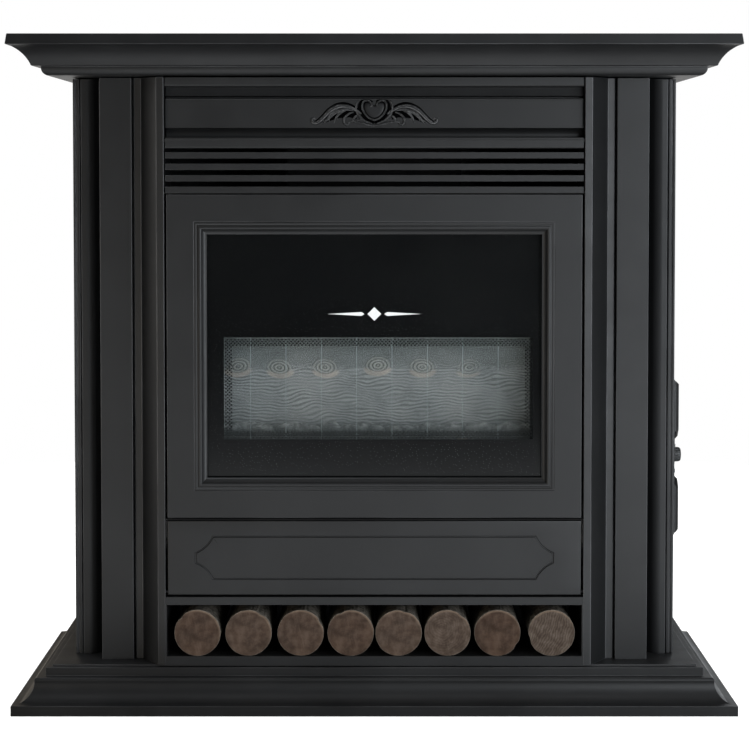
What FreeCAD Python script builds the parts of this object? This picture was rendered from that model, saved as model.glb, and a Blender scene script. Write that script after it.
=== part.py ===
import FreeCAD, Part
import math
import os

# A free-standing gas heater in the style of a small fireplace: moulded base and mantel, pilasters,
# a glass door over a log-effect fire, a drop-down flap over the burner bay and a log store below.
# Millimetres. X is to the right, Y goes back, Z is up. The origin is the middle of the base's underside.

# Sheet and clearances shared by many pieces
sheet = 1.5
heavy_sheet = 2.0
running_fit = 0.05
pin_clearance = 0.06
hole_clearance = 0.5
curve_gap = 0.2

# How far an arc's middle leaves its chord, as a share of the chord: a quarter round, and flatter curves
quarter_bulge = 0.207
mantel_cove_bulge = 0.105
shield_bulge = 0.104
cartouche_bulge = 0.107

# Base plinth: an upright foot, a hollow curve, a small nose and a step up to the casing
base_reach = 69.9
base_depth = 450.0
base_foot = 13.5
base_lip = 3.0
base_cove = (27.0, 25.5)
base_nose = (2.0, 5.0)
base_ledge = 11.0
base_step = 13.5
base_edge = 2.0

# Mantel: a slab over a hollow curve, a flat soffit and a round moulding
mantel_reach = 70.2
mantel_front_overhang = 6.0
mantel_slab = 13.8
mantel_lip = 2.0
mantel_cove = (28.3, 24.2)
mantel_nose = (2.1, 2.0)
mantel_soffit = 10.0
mantel_round = (7.4, 13.5)

# Casing and pilasters: widths run outwards from the opening, depths back from the base's front edge
opening_width = 550.8
front_setback = 42.0
pilaster_fillet = 10.2
pilaster_splay = (23.5, 38.0)
pilaster_quirk = 9.5
pilaster_groove = (2.6, 12.0)
pilaster_step = 4.0
pilaster_flat = 42.6
pilaster_drop = 42.0
pilaster_channel = 11.0
pilaster_round = 18.1
pilaster_rebate = 1.9
pilaster_edge = (9.2, 5.0)
pilaster_return = 16.0
rear_setback = 18.5
panel_flange = 16.0
rear_slot = (60.0, 8.0)
rear_slot_count = 7
rear_slot_pitch = 84.0
rear_slot_lift = 100.0
rear_slot_rise = 22.0

# Front stack, from the base upwards
tray_lower_rail = 12.0
log_headroom = 6.0
tray_upper_rail = 10.3
flap_height = 99.0
flap_gap = 2.5
sill_gap = 3.5
door_height = 426.0
louvre_space = 60.0
header_lower_rail = 14.0
header_lower_cove = 13.0
frieze_height = 39.0
header_upper_cove = 15.0
header_top_rail = 12.5

# Header, frieze ornament and louvre
frieze_recess = 8.0
header_cove_depth = 16.0
header_depth = 34.0
shield_width = 46.0
shield_height = 31.0
shield_thickness = 5.0
shield_shoulder = 6.8
dome_radius = 9.0
scroll_bar = 4.8
scroll_lift = 0.6
scroll_drop = 4.0
scroll_radii = (17.0, 9.0, 6.0, 3.6)
scroll_outer_radii = (12.5, 7.0, 4.6)
louvre_count = 4
louvre_lip = 8.0
louvre_flange = 14.0
louvre_pitch = 15.0
louvre_first_drop = 3.4

# Glass door
door_side_gap = 2.7
door_setback = 1.0
door_depth = 15.0
door_border = 36.5
bead_width = 16.0
bead_depth = 8.0
bead_fillet = 3.0
bead_groove = (2.4, 1.4)
bead_ridge = 6.0
bead_ridge_height = 3.2
glass_overlap = 10.0
glass_thickness = 4.0
gasket_thickness = 2.0
gasket_inset = 2.0
clip_length = 30.0
clip_spread = 140.0
pivot_inset = 4.0
pivot_diameter = 5.0
pivot_length = 10.0
carrier_depth = 40.0
catch_length = 36.0
catch_width = 14.0
catch_gap = 0.5
catch_drop = 100.0

# Drop-down flap
flap_depth = 14.0
flap_pin_diameter = 5.0
flap_pin_length = 12.0
cartouche_margin = (35.9, 20.2)
cartouche_corner = (23.1, 21.7)
cartouche_groove = (2.6, 1.0)

# Log store: the shares divide the spare width between the left margin, the gaps and the right margin
log_diameter = 62.4
log_length = 176.0
log_edge = 2.0
log_proud = 2.0
log_back_gap = 12.0
log_shares = (7.2, 3.8, 4.9, 2.8, 0.7, 1.7, 2.6, 7.0, 6.9)
tray_screw = (9.0, 3.0)
tray_screw_lift = 17.0
tray_screw_spread = 213.0

# Fire: chamber, window, burner and flue
chamber_width = 500.0
chamber_depth = 236.0
chamber_height = 336.0
chamber_lift = 118.0
window_air = 32.5
window_width = 416.0
window_height = 147.0
window_lift = 82.0
window_rim = 14.0
window_side_rim = 5.0
strip_count = 9
strip_thickness = 2.5
strip_joint = 1.0
shelf_lift = 88.0
shelf_depth = 110.0
shelf_gap = 1.0
shelf_turn = 20.0
flame_slot = (20.0, 8.0)
flame_slots = 12
flame_pitch = 34.0
flame_edge = 4.0
fire_log_length = 440.0
fire_log_height = 113.0
fire_log_depth = 46.0
fire_log_setback = 42.0
knot_count = 7
knot_end = 34.0
knot_size = 26.0
knot_proud = 5.0
ember_count = 13
ember_bar = 8.0
ember_gap = 3.0
ember_rim = 1.5
burner_diameter = 38.0
burner_length = 400.0
burner_wall = 1.5
burner_lift = 53.0
burner_setback = 88.0
port = (14.0, 4.0)
port_count = 16
port_pitch = 22.0
bracket_spread = 170.0
jet_hexagon = 19.0
jet_length = 22.0
pilot_x = 120.0
pilot_gap = 12.0
pilot_diameter = 10.0
pilot_hood = 16.0
pilot_height = 76.0
probe_spacing = 14.0
probe_step = 30.0
thermocouple_size = (6.0, 4.0)
electrode_size = (7.0, 3.0)
hood_width = 240.0
hood_depth = 130.0
hood_margin = 10.0
flue_diameter = 150.0
flue_wall = 1.5
flue_reach = 30.0
flue_bead = 4.0
leg_width = 36.0
leg_depth = 130.0

# Gas controls on the right side, level with the burner
igniter_drop = 70.0
escutcheon_drop = 101.5
escutcheon_width = 116.0
escutcheon_height = 210.0
escutcheon_thickness = 2.5
raised_thickness = 6.0
raised_margin = 2.0
raised_upper = 80.0
raised_lower = 76.0
raised_corner = 12.0
plate_screw = (6.0, 2.2)
plate_screw_inset = 8.0
plate_screw_rise = 8.0
knob_diameter = 21.0
knob_length = 15.0
knob_bore = 10.0
knob_flutes = 16
knob_flute = 2.0
knob_collar = 3.0
knob_turn_gap = 0.8
pointer_groove = 1.6
spindle_diameter = 8.0
button_diameter = 14.0
button_proud = 7.0
button_travel = 4.0
stem_diameter = 8.0
valve_size = (56.0, 60.0, 60.0)
valve_neck = (26.0, 14.0)
valve_bore = 40.0
bracket_thickness = 3.0
piezo_size = (20.0, 44.0)
piezo_bore = 24.0
pipe_diameter = 12.0
pipe_bend = 36.0
pipe_gap = 8.0
inlet_diameter = 20.955
inlet_length = 24.0
inlet_lift = 60.0
nipple_collar = 18.0
nipple_collar_diameter = 31.0
nipple_hexagon = (34.0, 6.0)

V = FreeCAD.Vector
rightwards = V(1, 0, 0)
rearwards = V(0, 1, 0)
upwards = V(0, 0, 1)

# Levels worked out from the sizes above
base_height = base_foot + base_cove[1] + base_nose[1] + base_step
mantel_height = mantel_slab + mantel_cove[1] + mantel_nose[1] + mantel_round[1]
log_floor = base_height + tray_lower_rail
log_opening = log_diameter + log_headroom
tray_top = log_floor + log_opening + tray_upper_rail
flap_bottom = tray_top + flap_gap
flap_top = flap_bottom + flap_height
door_bottom = flap_top + sill_gap
door_top = door_bottom + door_height
header_bottom = door_top + louvre_space
frieze_bottom = header_bottom + header_lower_rail + header_lower_cove
frieze_top = frieze_bottom + frieze_height
casing_top = frieze_top + header_upper_cove + header_top_rail
casing_height = casing_top - base_height
total_height = casing_top + mantel_height
sight_bottom = door_bottom + door_border
sight_top = door_top - door_border
catch_z = door_top - catch_drop
chamber_bottom = tray_top + chamber_lift
chamber_top = chamber_bottom + chamber_height
window_bottom = chamber_bottom + window_lift
shelf_top = chamber_bottom + shelf_lift
hood_height = flue_diameter + 2 * hood_margin
flue_z = chamber_top + hood_height / 2
rear_slot_low = base_height + rear_slot_lift
inlet_z = base_height + inlet_lift

# Planes from front to back
front = -base_depth / 2
back = base_depth / 2
face = front + front_setback
door_face = face + door_setback
frieze_face = face + frieze_recess
scroll_plane = frieze_face - scroll_lift
pilaster_depth = pilaster_splay[1] - pilaster_step + pilaster_drop + pilaster_return
pilaster_back = face + pilaster_depth
rear = back - rear_setback
tray_back = face - log_proud + log_length + log_back_gap + sheet
chamber_front = door_face + door_depth + sheet + window_air
chamber_back = chamber_front + chamber_depth
shelf_front = chamber_front + strip_thickness + sheet + shelf_gap

# Planes from the middle outwards
half_opening = opening_width / 2
half_door = half_opening - door_side_gap
pilaster_width = (pilaster_fillet + pilaster_splay[0] + pilaster_quirk + pilaster_groove[0] + pilaster_flat
                  + pilaster_channel + pilaster_round + pilaster_rebate + pilaster_edge[0])
half_casing = half_opening + pilaster_width
half_base = half_casing + base_reach
half_mantel = half_casing + mantel_reach
bracket_x = half_casing - sheet - bracket_thickness
valve_left = bracket_x - valve_neck[1] - valve_size[0]
inlet_x = bracket_x - piezo_size[1] - pipe_gap - pipe_diameter / 2
knob_x = half_casing + escutcheon_thickness + knob_turn_gap

# Axes of what turns, and of the burner and the controls level with it
pivot_x = -half_door + pivot_inset
pivot_y = door_face + pivot_inset
flap_axis_y = door_face + pivot_inset
flap_axis_z = flap_bottom + pivot_inset
burner_y = chamber_front + burner_setback
burner_z = chamber_bottom + burner_lift
pilot_y = burner_y - burner_diameter / 2 - pilot_gap
control_y = burner_y
knob_z = burner_z
igniter_z = knob_z - igniter_drop
escutcheon_low = knob_z - escutcheon_drop
escutcheon_high = escutcheon_low + escutcheon_height


def box(x, y, z):
    """Block between pairs of limits along X, Y and Z."""
    return Part.makeBox(x[1] - x[0], y[1] - y[0], z[1] - z[0], V(x[0], y[0], z[0]))


def about(middle, width):
    """Limits half a width to each side of a middle."""
    return middle - width / 2, middle + width / 2


def rod(diameter, length, start, direction):
    """Round bar from a start point along a direction."""
    return Part.makeCylinder(diameter / 2, length, start, direction)


def edges_of(steps, place):
    """Edges through a list of steps: a pair is a straight run's end, two pairs an arc's middle and end."""
    here = place(*steps[0])
    edges = []
    for step in steps[1:]:
        if len(step) == 2:
            end = place(*step)
            edges.append(Part.LineSegment(here, end).toShape())
        else:
            end = place(*step[2:])
            edges.append(Part.Arc(here, place(*step[:2]), end).toShape())
        here = end
    return edges


def closed_face(edges):
    """Flat face inside edges, with a straight edge added to close an open chain."""
    wire = Part.Wire(Part.__sortEdges__(edges))
    if not wire.isClosed():
        first, last = wire.OrderedVertexes[0].Point, wire.OrderedVertexes[-1].Point
        wire = Part.Wire(wire.Edges + [Part.LineSegment(last, first).toShape()])
    return Part.Face(wire)


def outline(steps, place):
    """Flat face inside the steps, placed in space."""
    return closed_face(edges_of(steps, place))


def hollow_curve(start, end, bulge):
    """Arc from start to end whose middle leaves the chord by a share of its length, as steps."""
    (a, b), (c, d) = start, end
    middle = ((a + c) / 2 + bulge * (d - b), (b + d) / 2 - bulge * (c - a))
    return (middle[0], middle[1], c, d)


def single(shape):
    """The one solid of a shape, with its leftover seams merged."""
    solids = shape.removeSplitter().Solids
    if len(solids) != 1:
        raise ValueError("expected one solid, found %d" % len(solids))
    return solids[0]


def save(name, *shapes):
    """Write one node: a single solid, or a group of like solids."""
    shape = shapes[0] if len(shapes) == 1 else Part.makeCompound(shapes)
    if not shape.isValid():
        raise ValueError(name + " isn't a valid solid")
    shape.exportStep("parts/%s.step" % name)


def moulded_block(profile, half_width, y_front, y_back):
    """Block whose front and two sides carry one profile of (inset, height), mitred at the front corners."""
    right = edges_of(profile, lambda inset, z: V(half_width - inset, y_front, z))
    left = edges_of(profile, lambda inset, z: V(-half_width + inset, y_front, z))
    bottom = Part.LineSegment(left[0].firstVertex().Point, right[0].firstVertex().Point).toShape()
    top = Part.LineSegment(left[-1].lastVertex().Point, right[-1].lastVertex().Point).toShape()
    across = Part.Face(Part.Wire(Part.__sortEdges__(right + [top] + left + [bottom])))
    foot, head = profile[0], profile[-1]
    ahead = edges_of(profile, lambda inset, z: V(-half_width, y_front + inset, z))
    corners = [V(-half_width, y_front + head[-2], head[-1]), V(-half_width, y_back, head[-1]),
               V(-half_width, y_back, foot[-1]), V(-half_width, y_front + foot[-2], foot[-1])]
    along = Part.Face(Part.Wire(Part.__sortEdges__(ahead + Part.makePolygon(corners).Edges)))
    return single(across.extrude(V(0, y_back - y_front, 0)).common(along.extrude(V(2 * half_width, 0, 0))))


def sheet_section(section, wall):
    """Hollow section: a flat face with the middle taken out, leaving a wall of one thickness."""
    return section.cut(section.makeOffset2D(-wall))


def base_plinth():
    """Pressed steel plinth, open below: a foot, a hollow curve, a nose, a ledge and a step to the deck."""
    cove_foot = (base_lip, base_foot)
    cove_head = (base_cove[0], base_foot + base_cove[1])
    nose_head = (base_cove[0] + base_nose[0], cove_head[1] + base_nose[1])
    riser = nose_head[0] + base_ledge
    edge_foot = (riser, base_height - base_edge)
    outside = [(0, 0), (0, base_foot), cove_foot, hollow_curve(cove_foot, cove_head, quarter_bulge),
               hollow_curve(cove_head, nose_head, -quarter_bulge), (riser, nose_head[1]), edge_foot,
               hollow_curve(edge_foot, (riser + base_edge, base_height), -quarter_bulge)]
    inside = [(sheet, 0), (sheet, base_foot - sheet), (base_cove[0] - sheet, base_foot - sheet),
              (nose_head[0] + sheet, cove_head[1]), (nose_head[0] + sheet, nose_head[1] - sheet),
              (riser + sheet, nose_head[1] - sheet), (riser + sheet, base_height - sheet)]
    block = moulded_block(outside, half_base, front, back)
    return single(block.cut(moulded_block(inside, half_base, front, back - sheet)))


def floor_limits(clearance):
    """X and Y limits of the opening under the plinth, drawn in by a clearance."""
    half = half_base - sheet - clearance
    return (-half, half), (front + sheet + clearance, back - sheet - clearance)


def floor_plate():
    """Plate that closes the plinth from below."""
    return box(*floor_limits(curve_gap), (0, sheet))


def mantel_top():
    """Moulded top, a pressed shell open below inside the casing."""
    soffit = casing_top + mantel_round[1]
    nose_head = soffit + mantel_nose[1]
    slab_foot = nose_head + mantel_cove[1]
    cove_foot = (mantel_cove[0], nose_head)
    cove_head = (mantel_lip, slab_foot)
    cove = hollow_curve(cove_foot, cove_head, mantel_cove_bulge)
    inner = mantel_cove[0] + mantel_nose[0] + mantel_soffit
    nose_foot = (mantel_cove[0] + mantel_nose[0], soffit)
    round_foot = (inner + mantel_round[0], casing_top)
    edge_foot = (0, total_height - mantel_lip)
    outside = [round_foot, hollow_curve(round_foot, (inner, soffit), -quarter_bulge), nose_foot,
               hollow_curve(nose_foot, cove_foot, -quarter_bulge), cove, (0, slab_foot), edge_foot,
               hollow_curve(edge_foot, (mantel_lip, total_height), -quarter_bulge)]
    inside = [(round_foot[0] + sheet, casing_top + sheet), (inner + sheet, soffit + sheet),
              (cove_foot[0] + sheet, nose_head + sheet), (cove[0] + sheet, cove[1] + sheet),
              (mantel_lip + 2 * sheet, slab_foot + sheet), (sheet, slab_foot + sheet),
              (sheet, total_height - sheet)]
    y_front = front - mantel_front_overhang
    block = moulded_block(outside, half_mantel, y_front, back)
    shell = block.cut(moulded_block(inside, half_mantel, y_front, back - sheet))
    hole = half_casing - panel_flange
    return single(shell.cut(box((-hole, hole), (pilaster_back, rear - panel_flange),
                                (casing_top, casing_top + sheet))))


def pilaster(side):
    """Pilaster of folded sheet: a fillet, a splay, a quirk, a flat, a half-round and an edge, from the opening out.

    Side is 1 for the right one and -1 for the left one.
    """
    a1 = pilaster_fillet
    a2 = a1 + pilaster_splay[0]
    a3 = a2 + pilaster_quirk
    a4 = a3 + pilaster_groove[0]
    a5 = a4 + pilaster_flat
    a6 = a5 + pilaster_channel
    a7 = a6 + pilaster_round
    a8 = a7 + pilaster_rebate
    b1 = pilaster_splay[1]
    b2 = b1 + pilaster_groove[1]
    b3 = b1 - pilaster_step
    bed = b3 + pilaster_drop
    edge = bed - pilaster_edge[1]
    half_round = ((a6 + a7) / 2, bed - pilaster_round / 2, a7, bed)
    steps = [(0, 0), (a1, 0), (a2, b1), (a3, b1), (a3, b2), (a4, b2), (a4, b3), (a5, b3), (a5, bed), (a6, bed),
             half_round, (a8, bed), (a8, edge), (pilaster_width, edge), (pilaster_width, pilaster_depth),
             (0, pilaster_depth)]
    section = outline(steps, lambda a, b: V(side * (half_opening + a), face + b, base_height))
    post = sheet_section(section, sheet).extrude(V(0, 0, casing_height))
    return single(post.cut(rod(flap_pin_diameter + 2 * pin_clearance, sheet,
                               V(side * half_opening, flap_axis_y, flap_axis_z), rightwards * side)))


def side_panel(side):
    """Side of the casing, a sheet turned in at the pilaster and at the rear panel."""
    inner = half_casing - panel_flange
    wall = half_casing - sheet
    y0, y1 = pilaster_back, rear
    steps = [(half_casing, y0), (half_casing, y1), (inner, y1), (inner, y1 - sheet), (wall, y1 - sheet),
             (wall, y0 + sheet), (inner, y0 + sheet), (inner, y0)]
    panel = outline(steps, lambda x, y: V(side * x, y, base_height)).extrude(V(0, 0, casing_height))
    if side > 0:
        for hole in control_holes(half_casing - sheet, sheet):
            panel = panel.cut(hole)
    return single(panel)


def rear_panel():
    """Back of the casing with the flue and gas holes and two rows of air slots."""
    panel = box((-half_casing, half_casing), (rear, rear + sheet), (base_height, casing_top))
    panel = panel.cut(rod(flue_diameter + 2 * hole_clearance, sheet, V(0, rear, flue_z), rearwards))
    panel = panel.cut(rod(inlet_diameter + 2 * hole_clearance, sheet, V(inlet_x, rear, inlet_z), rearwards))
    for z in (rear_slot_low, rear_slot_low + rear_slot_rise):
        for index in range(rear_slot_count):
            x = (index - (rear_slot_count - 1) / 2) * rear_slot_pitch
            panel = panel.cut(box((x - rear_slot[0] / 2, x + rear_slot[0] / 2), (rear, rear + sheet),
                                  (z, z + rear_slot[1])))
    return single(panel)


def header_fascia():
    """Rolled fascia under the mantel: two rails, two hollow mouldings and a recessed frieze between."""
    lower_cove = header_bottom + header_lower_rail
    steps = [(0, header_bottom), (0, lower_cove),
             (header_cove_depth, (lower_cove + frieze_bottom) / 2, frieze_recess, frieze_bottom),
             (frieze_recess, frieze_top),
             (header_cove_depth, frieze_top + header_upper_cove / 2, 0, frieze_top + header_upper_cove),
             (0, casing_top), (header_depth, casing_top), (header_depth, header_bottom)]
    section = outline(steps, lambda b, z: V(-half_opening, face + b, z))
    fascia = sheet_section(section, sheet).extrude(V(opening_width, 0, 0))
    open_back = box((-half_opening, half_opening), (face + header_depth - sheet, face + header_depth),
                    (header_bottom + sheet, casing_top - sheet))
    return single(fascia.cut(open_back))


def louvre_slat(index):
    """Angle slat across the opening: a lip in front and a flange behind."""
    top = header_bottom - louvre_first_drop - index * louvre_pitch
    lip, flange = top - louvre_lip, top - sheet
    steps = [(0, lip), (sheet, lip), (sheet, flange), (louvre_flange, flange), (louvre_flange, top), (0, top)]
    return outline(steps, lambda b, z: V(-half_opening, face + b, z)).extrude(V(opening_width, 0, 0))


def door_carrier(z):
    """Cross plate between the pilasters with the bearing hole of one door pivot."""
    plate = box((-half_opening, half_opening), (door_face, door_face + carrier_depth), (z, z + sheet))
    return plate.cut(rod(pivot_diameter + 2 * pin_clearance, sheet, V(pivot_x, pivot_y, z), upwards))


def volute(start, heading, radii, turn):
    """Scroll line: half circles of given radii end to end, turning one way, as edges."""
    x, z = start
    edges = []
    for radius in radii:
        ahead = (math.cos(heading), math.sin(heading))
        centre = (x - turn * radius * ahead[1], z + turn * radius * ahead[0])
        middle = (centre[0] + radius * ahead[0], centre[1] + radius * ahead[1])
        end = (2 * centre[0] - x, 2 * centre[1] - z)
        edges.append(Part.Arc(*[V(px, scroll_plane, pz) for px, pz in ((x, z), middle, end)]).toShape())
        x, z = end
        heading += math.pi
    return edges


def bar_along(edges, diameter):
    """Round bar whose middle follows joined edges."""
    path = Part.Wire(edges)
    start = edges[0].valueAt(edges[0].FirstParameter)
    ahead = edges[0].tangentAt(edges[0].FirstParameter)
    ring = Part.Wire(Part.Circle(start, ahead, diameter / 2).toShape())
    return path.makePipeShell([ring], True, False)


def frieze_ornament():
    """Cast scrollwork seated on the frieze: a shield with a dome, two scrolls on each side and a swag."""
    middle = (frieze_bottom + frieze_top) / 2
    tip = (0, -shield_height / 2)
    shoulder = (shield_width / 2, shield_shoulder)
    top = (0, shield_height / 2)
    halves = [tip, hollow_curve(tip, shoulder, shield_bulge), hollow_curve(shoulder, top, shield_bulge)]
    right = edges_of(halves, lambda x, z: V(x, frieze_face, middle + z))
    left = edges_of(halves, lambda x, z: V(-x, frieze_face, middle + z))
    work = closed_face(right + left).extrude(V(0, -shield_thickness, 0))
    work = work.fuse(Part.makeSphere(dome_radius, V(0, frieze_face, middle)))
    neck = (shield_width / 2 - scroll_bar, middle - scroll_drop)
    arm = volute(neck, math.pi / 2, scroll_radii[:1], -1)
    joint = (neck[0] + 2 * scroll_radii[0], neck[1])
    runs = [arm + volute(joint, -math.pi / 2, scroll_outer_radii, 1),
            volute(joint, -math.pi / 2, scroll_radii[1:], -1)]
    for run in runs:
        bar = bar_along(run, scroll_bar)
        work = work.fuse([bar, bar.mirror(V(0, 0, 0), rightwards)])
    swag = Part.Arc(V(-neck[0], scroll_plane, neck[1]), V(0, scroll_plane, frieze_bottom + scroll_bar),
                    V(neck[0], scroll_plane, neck[1])).toShape()
    work = work.fuse(bar_along([swag], scroll_bar))
    in_front = box(about(0, opening_width), (face - frieze_height, frieze_face), (frieze_bottom, frieze_top))
    return single(work.common(in_front))


def door_channel(z0, z1, depth):
    """Pressed pan the width of the door: a front face with walls turned back along its edges."""
    wall = heavy_sheet
    shell = box(about(0, 2 * half_door), (door_face, door_face + depth), (z0, z1))
    return shell.cut(box(about(0, 2 * (half_door - wall)), (door_face + wall, door_face + depth),
                         (z0 + wall, z1 - wall)))


def door_frame():
    """Door frame of channel section, with solid corners for the pivot pins on the left."""
    frame = door_channel(door_bottom, door_top, door_depth)
    inner = half_door - door_border
    wall = inner + heavy_sheet
    depth = (door_face, door_face + door_depth)
    frame = frame.fuse(box((-wall, wall), depth, (sight_bottom - heavy_sheet, sight_top + heavy_sheet)))
    frame = frame.cut(box((-inner, inner), depth, (sight_bottom, sight_top)))
    for z, up in ((door_bottom, 1), (door_top, -1)):
        block = sorted((z, z + up * pivot_length))
        frame = frame.fuse(box((-half_door, -half_door + 2 * pivot_inset), depth, block))
        hole = V(pivot_x, pivot_y, z)
        frame = frame.cut(rod(pivot_diameter + 2 * running_fit, pivot_length, hole, upwards * up))
    return single(frame)


def mitred_ring(profile, inner_half, low, high):
    """Picture-frame moulding round an opening. The profile is (inwards, back) from the opening's edge."""
    def ring_side(length, place_point):
        face_here = outline(profile, lambda u, b: place_point(0, u, b))
        run = place_point(length, 0, 0) - place_point(0, 0, 0)
        bar = face_here.extrude(run)
        reach = max(step[-2] for step in profile)
        deep = max(abs(step[-1]) for step in profile) + reach
        corners = [(0, 0), (length, 0), (length - reach, reach), (reach, reach), (0, 0)]
        wedge = Part.makePolygon([place_point(along, inwards, -deep) for along, inwards in corners])
        trim = Part.Face(wedge).extrude(V(0, 2 * deep, 0))
        return bar.common(trim)

    width, height = 2 * inner_half, high - low
    sides = [ring_side(width, lambda s, u, b: V(-inner_half + s, door_face + b, low + u)),
             ring_side(width, lambda s, u, b: V(-inner_half + s, door_face + b, high - u)),
             ring_side(height, lambda s, u, b: V(-inner_half + u, door_face + b, low + s)),
             ring_side(height, lambda s, u, b: V(inner_half - u, door_face + b, low + s))]
    return single(sides[0].fuse(sides[1:]))


def glass_bead():
    """Moulded bead between door frame and glass: fillet, groove, round ridge and a slope inwards."""
    ridge_start = (bead_fillet + bead_groove[0], bead_groove[1] / 2)
    ridge_end = (ridge_start[0] + bead_ridge, ridge_start[1])
    profile = [(0, 0), hollow_curve((0, 0), (bead_fillet, 0), quarter_bulge),
               (bead_fillet + bead_groove[0] / 2, bead_groove[1]), ridge_start,
               ((ridge_start[0] + ridge_end[0]) / 2, ridge_start[1] - bead_ridge_height) + ridge_end,
               (bead_width, bead_depth - heavy_sheet), (bead_width, bead_depth), (0, bead_depth)]
    return mitred_ring(profile, half_door - door_border, sight_bottom, sight_top)


def glass_limits(overlap):
    """X and Z limits of the seen glass, widened by an overlap behind the bead."""
    half = half_door - door_border - bead_width + overlap
    return (-half, half), (sight_bottom + bead_width - overlap, sight_top - bead_width + overlap)


def pane(overlap, depth, thickness):
    """Plate behind the bead at a depth from the door's face."""
    x, z = glass_limits(overlap)
    return box(x, (door_face + depth, door_face + depth + thickness), z)


def glass_gasket():
    """Flat woven seal between bead and glass."""
    seal = pane(glass_overlap, bead_depth, gasket_thickness)
    return seal.cut(pane(gasket_inset, bead_depth, gasket_thickness))


def glass_clips():
    """Spring clips that reach from the frame's inner walls over the back of the glass."""
    back_edge = door_face + door_depth
    glass_back = door_face + bead_depth + gasket_thickness + glass_thickness
    inner = half_door - door_border
    reach = bead_width + heavy_sheet
    clips = []

    def clip(limits, edge, into):
        """Strap over a wall's back edge with a pad on the glass. Limits places (along, across) as X and Z."""
        strap = limits((edge - into * heavy_sheet, edge + into * reach))
        pad = limits((edge + into * bead_width, edge + into * reach))
        x, z = strap
        body = box(sorted(x), (back_edge, back_edge + sheet), sorted(z))
        x, z = pad
        return single(body.fuse(box(sorted(x), (glass_back, back_edge), sorted(z))))

    for x in (-clip_spread, clip_spread):
        for z, into in ((sight_bottom, 1), (sight_top, -1)):
            clips.append(clip(lambda across: (about(x, clip_length), across), z, into))
    middle = (sight_bottom + sight_top) / 2
    for side in (-1, 1):
        clips.append(clip(lambda across: (across, about(middle, clip_length)), side * inner, -side))
    return clips


def door_pivot_pins():
    """Two pins that stand in the door's left corners and turn in the cross plates."""
    reach = (sill_gap + sheet) / 2
    length = pivot_length + reach
    return [rod(pivot_diameter, length, V(pivot_x, pivot_y, door_top - pivot_length), upwards),
            rod(pivot_diameter, length, V(pivot_x, pivot_y, door_bottom + pivot_length), -upwards)]


def door_catch_plate():
    """Steel keeper across the back of the door's free side."""
    y = door_face + door_depth
    return box((half_door - door_border, half_door), (y, y + sheet),
               (catch_z - catch_length / 2, catch_z + catch_length / 2))


def door_magnet():
    """Magnet on the right jamb that holds the door shut."""
    y = door_face + door_depth + sheet + catch_gap
    return box((half_opening - catch_width, half_opening), (y, y + catch_width),
               (catch_z - catch_length / 2, catch_z + catch_length / 2))


def cartouche(shrink):
    """Panel outline with scooped corners on the flap's face, drawn in by an amount."""
    half_w = half_door - cartouche_margin[0]
    half_h = flap_height / 2 - cartouche_margin[1]
    middle = (flap_bottom + flap_top) / 2
    top = (half_w - cartouche_corner[0], half_h)
    tip = (half_w, half_h - cartouche_corner[1])
    corner = [top, hollow_curve(top, tip, cartouche_bulge)]
    edges = []
    for sx in (-1, 1):
        for sz in (-1, 1):
            edges += edges_of(corner, lambda x, z: V(sx * x, door_face, middle + sz * z))
        edges += edges_of([tip, (tip[0], -tip[1])], lambda x, z: V(sx * x, door_face, middle + z))
    for sz in (-1, 1):
        edges += edges_of([(-top[0], top[1]), top], lambda x, z: V(x, door_face, middle + sz * z))
    panel = closed_face(edges)
    return panel.makeOffset2D(-shrink) if shrink else panel


def access_flap():
    """Drop-down panel with an engraved cartouche, and solid lower corners for its pivot pins."""
    flap = door_channel(flap_bottom, flap_top, flap_depth)
    for side in (-1, 1):
        ends = sorted((side * half_door, side * (half_door - flap_pin_length)))
        corner = box(ends, (door_face, door_face + flap_depth), (flap_bottom, flap_bottom + 2 * pivot_inset))
        flap = flap.fuse(corner)
        flap = flap.cut(rod(flap_pin_diameter + 2 * running_fit, flap_pin_length,
                            V(side * half_door, flap_axis_y, flap_axis_z), rightwards * -side))
    groove = cartouche(0).cut(cartouche(cartouche_groove[0])).extrude(V(0, cartouche_groove[1], 0))
    return single(flap.cut(groove))


def flap_pins():
    """Two pins that stand in the flap's ends and turn in the jambs."""
    length = flap_pin_length + door_side_gap + sheet
    return [rod(flap_pin_diameter, length, V(side * (half_door - flap_pin_length), flap_axis_y, flap_axis_z),
                V(side, 0, 0)) for side in (-1, 1)]


def log_tray():
    """Folded tray open to the front, with a rail above and below its mouth and a hollow top."""
    x = (-half_opening, half_opening)
    tray = box(x, (face, tray_back), (base_height, tray_top))
    inside = (-half_opening + sheet, half_opening - sheet)
    tray = tray.cut(box(inside, (face, tray_back - sheet), (log_floor, log_floor + log_opening)))
    ceiling = log_floor + log_opening + sheet
    for low, high in ((base_height, log_floor - sheet), (ceiling, tray_top - sheet)):
        tray = tray.cut(box(inside, (face + sheet, tray_back), (low, high)))
    return single(tray)


def log_centres():
    """Log centres along X: as many logs as fit, with the spare width shared out unevenly between them."""
    room = opening_width - 2 * sheet
    count = min(len(log_shares) - 1, int(room // log_diameter))
    spare = room - count * log_diameter
    shares = log_shares[:count + 1]
    left = -room / 2
    centres = []
    for share in shares[:-1]:
        left += spare * share / sum(shares)
        centres.append(left + log_diameter / 2)
        left += log_diameter
    return centres


def log(x):
    """One round log with a worn edge at each end, lying in the tray."""
    radius = log_diameter / 2
    worn = radius - log_edge
    steps = [(0, 0), (worn, 0), (radius, log_edge), (radius, log_length - log_edge), (worn, log_length),
             (0, log_length)]
    centre_z = log_floor + radius + curve_gap
    half = outline(steps, lambda r, s: V(x + r, face - log_proud + s, centre_z))
    return half.revolve(V(x, 0, centre_z), V(0, 1, 0), 360)


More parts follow.
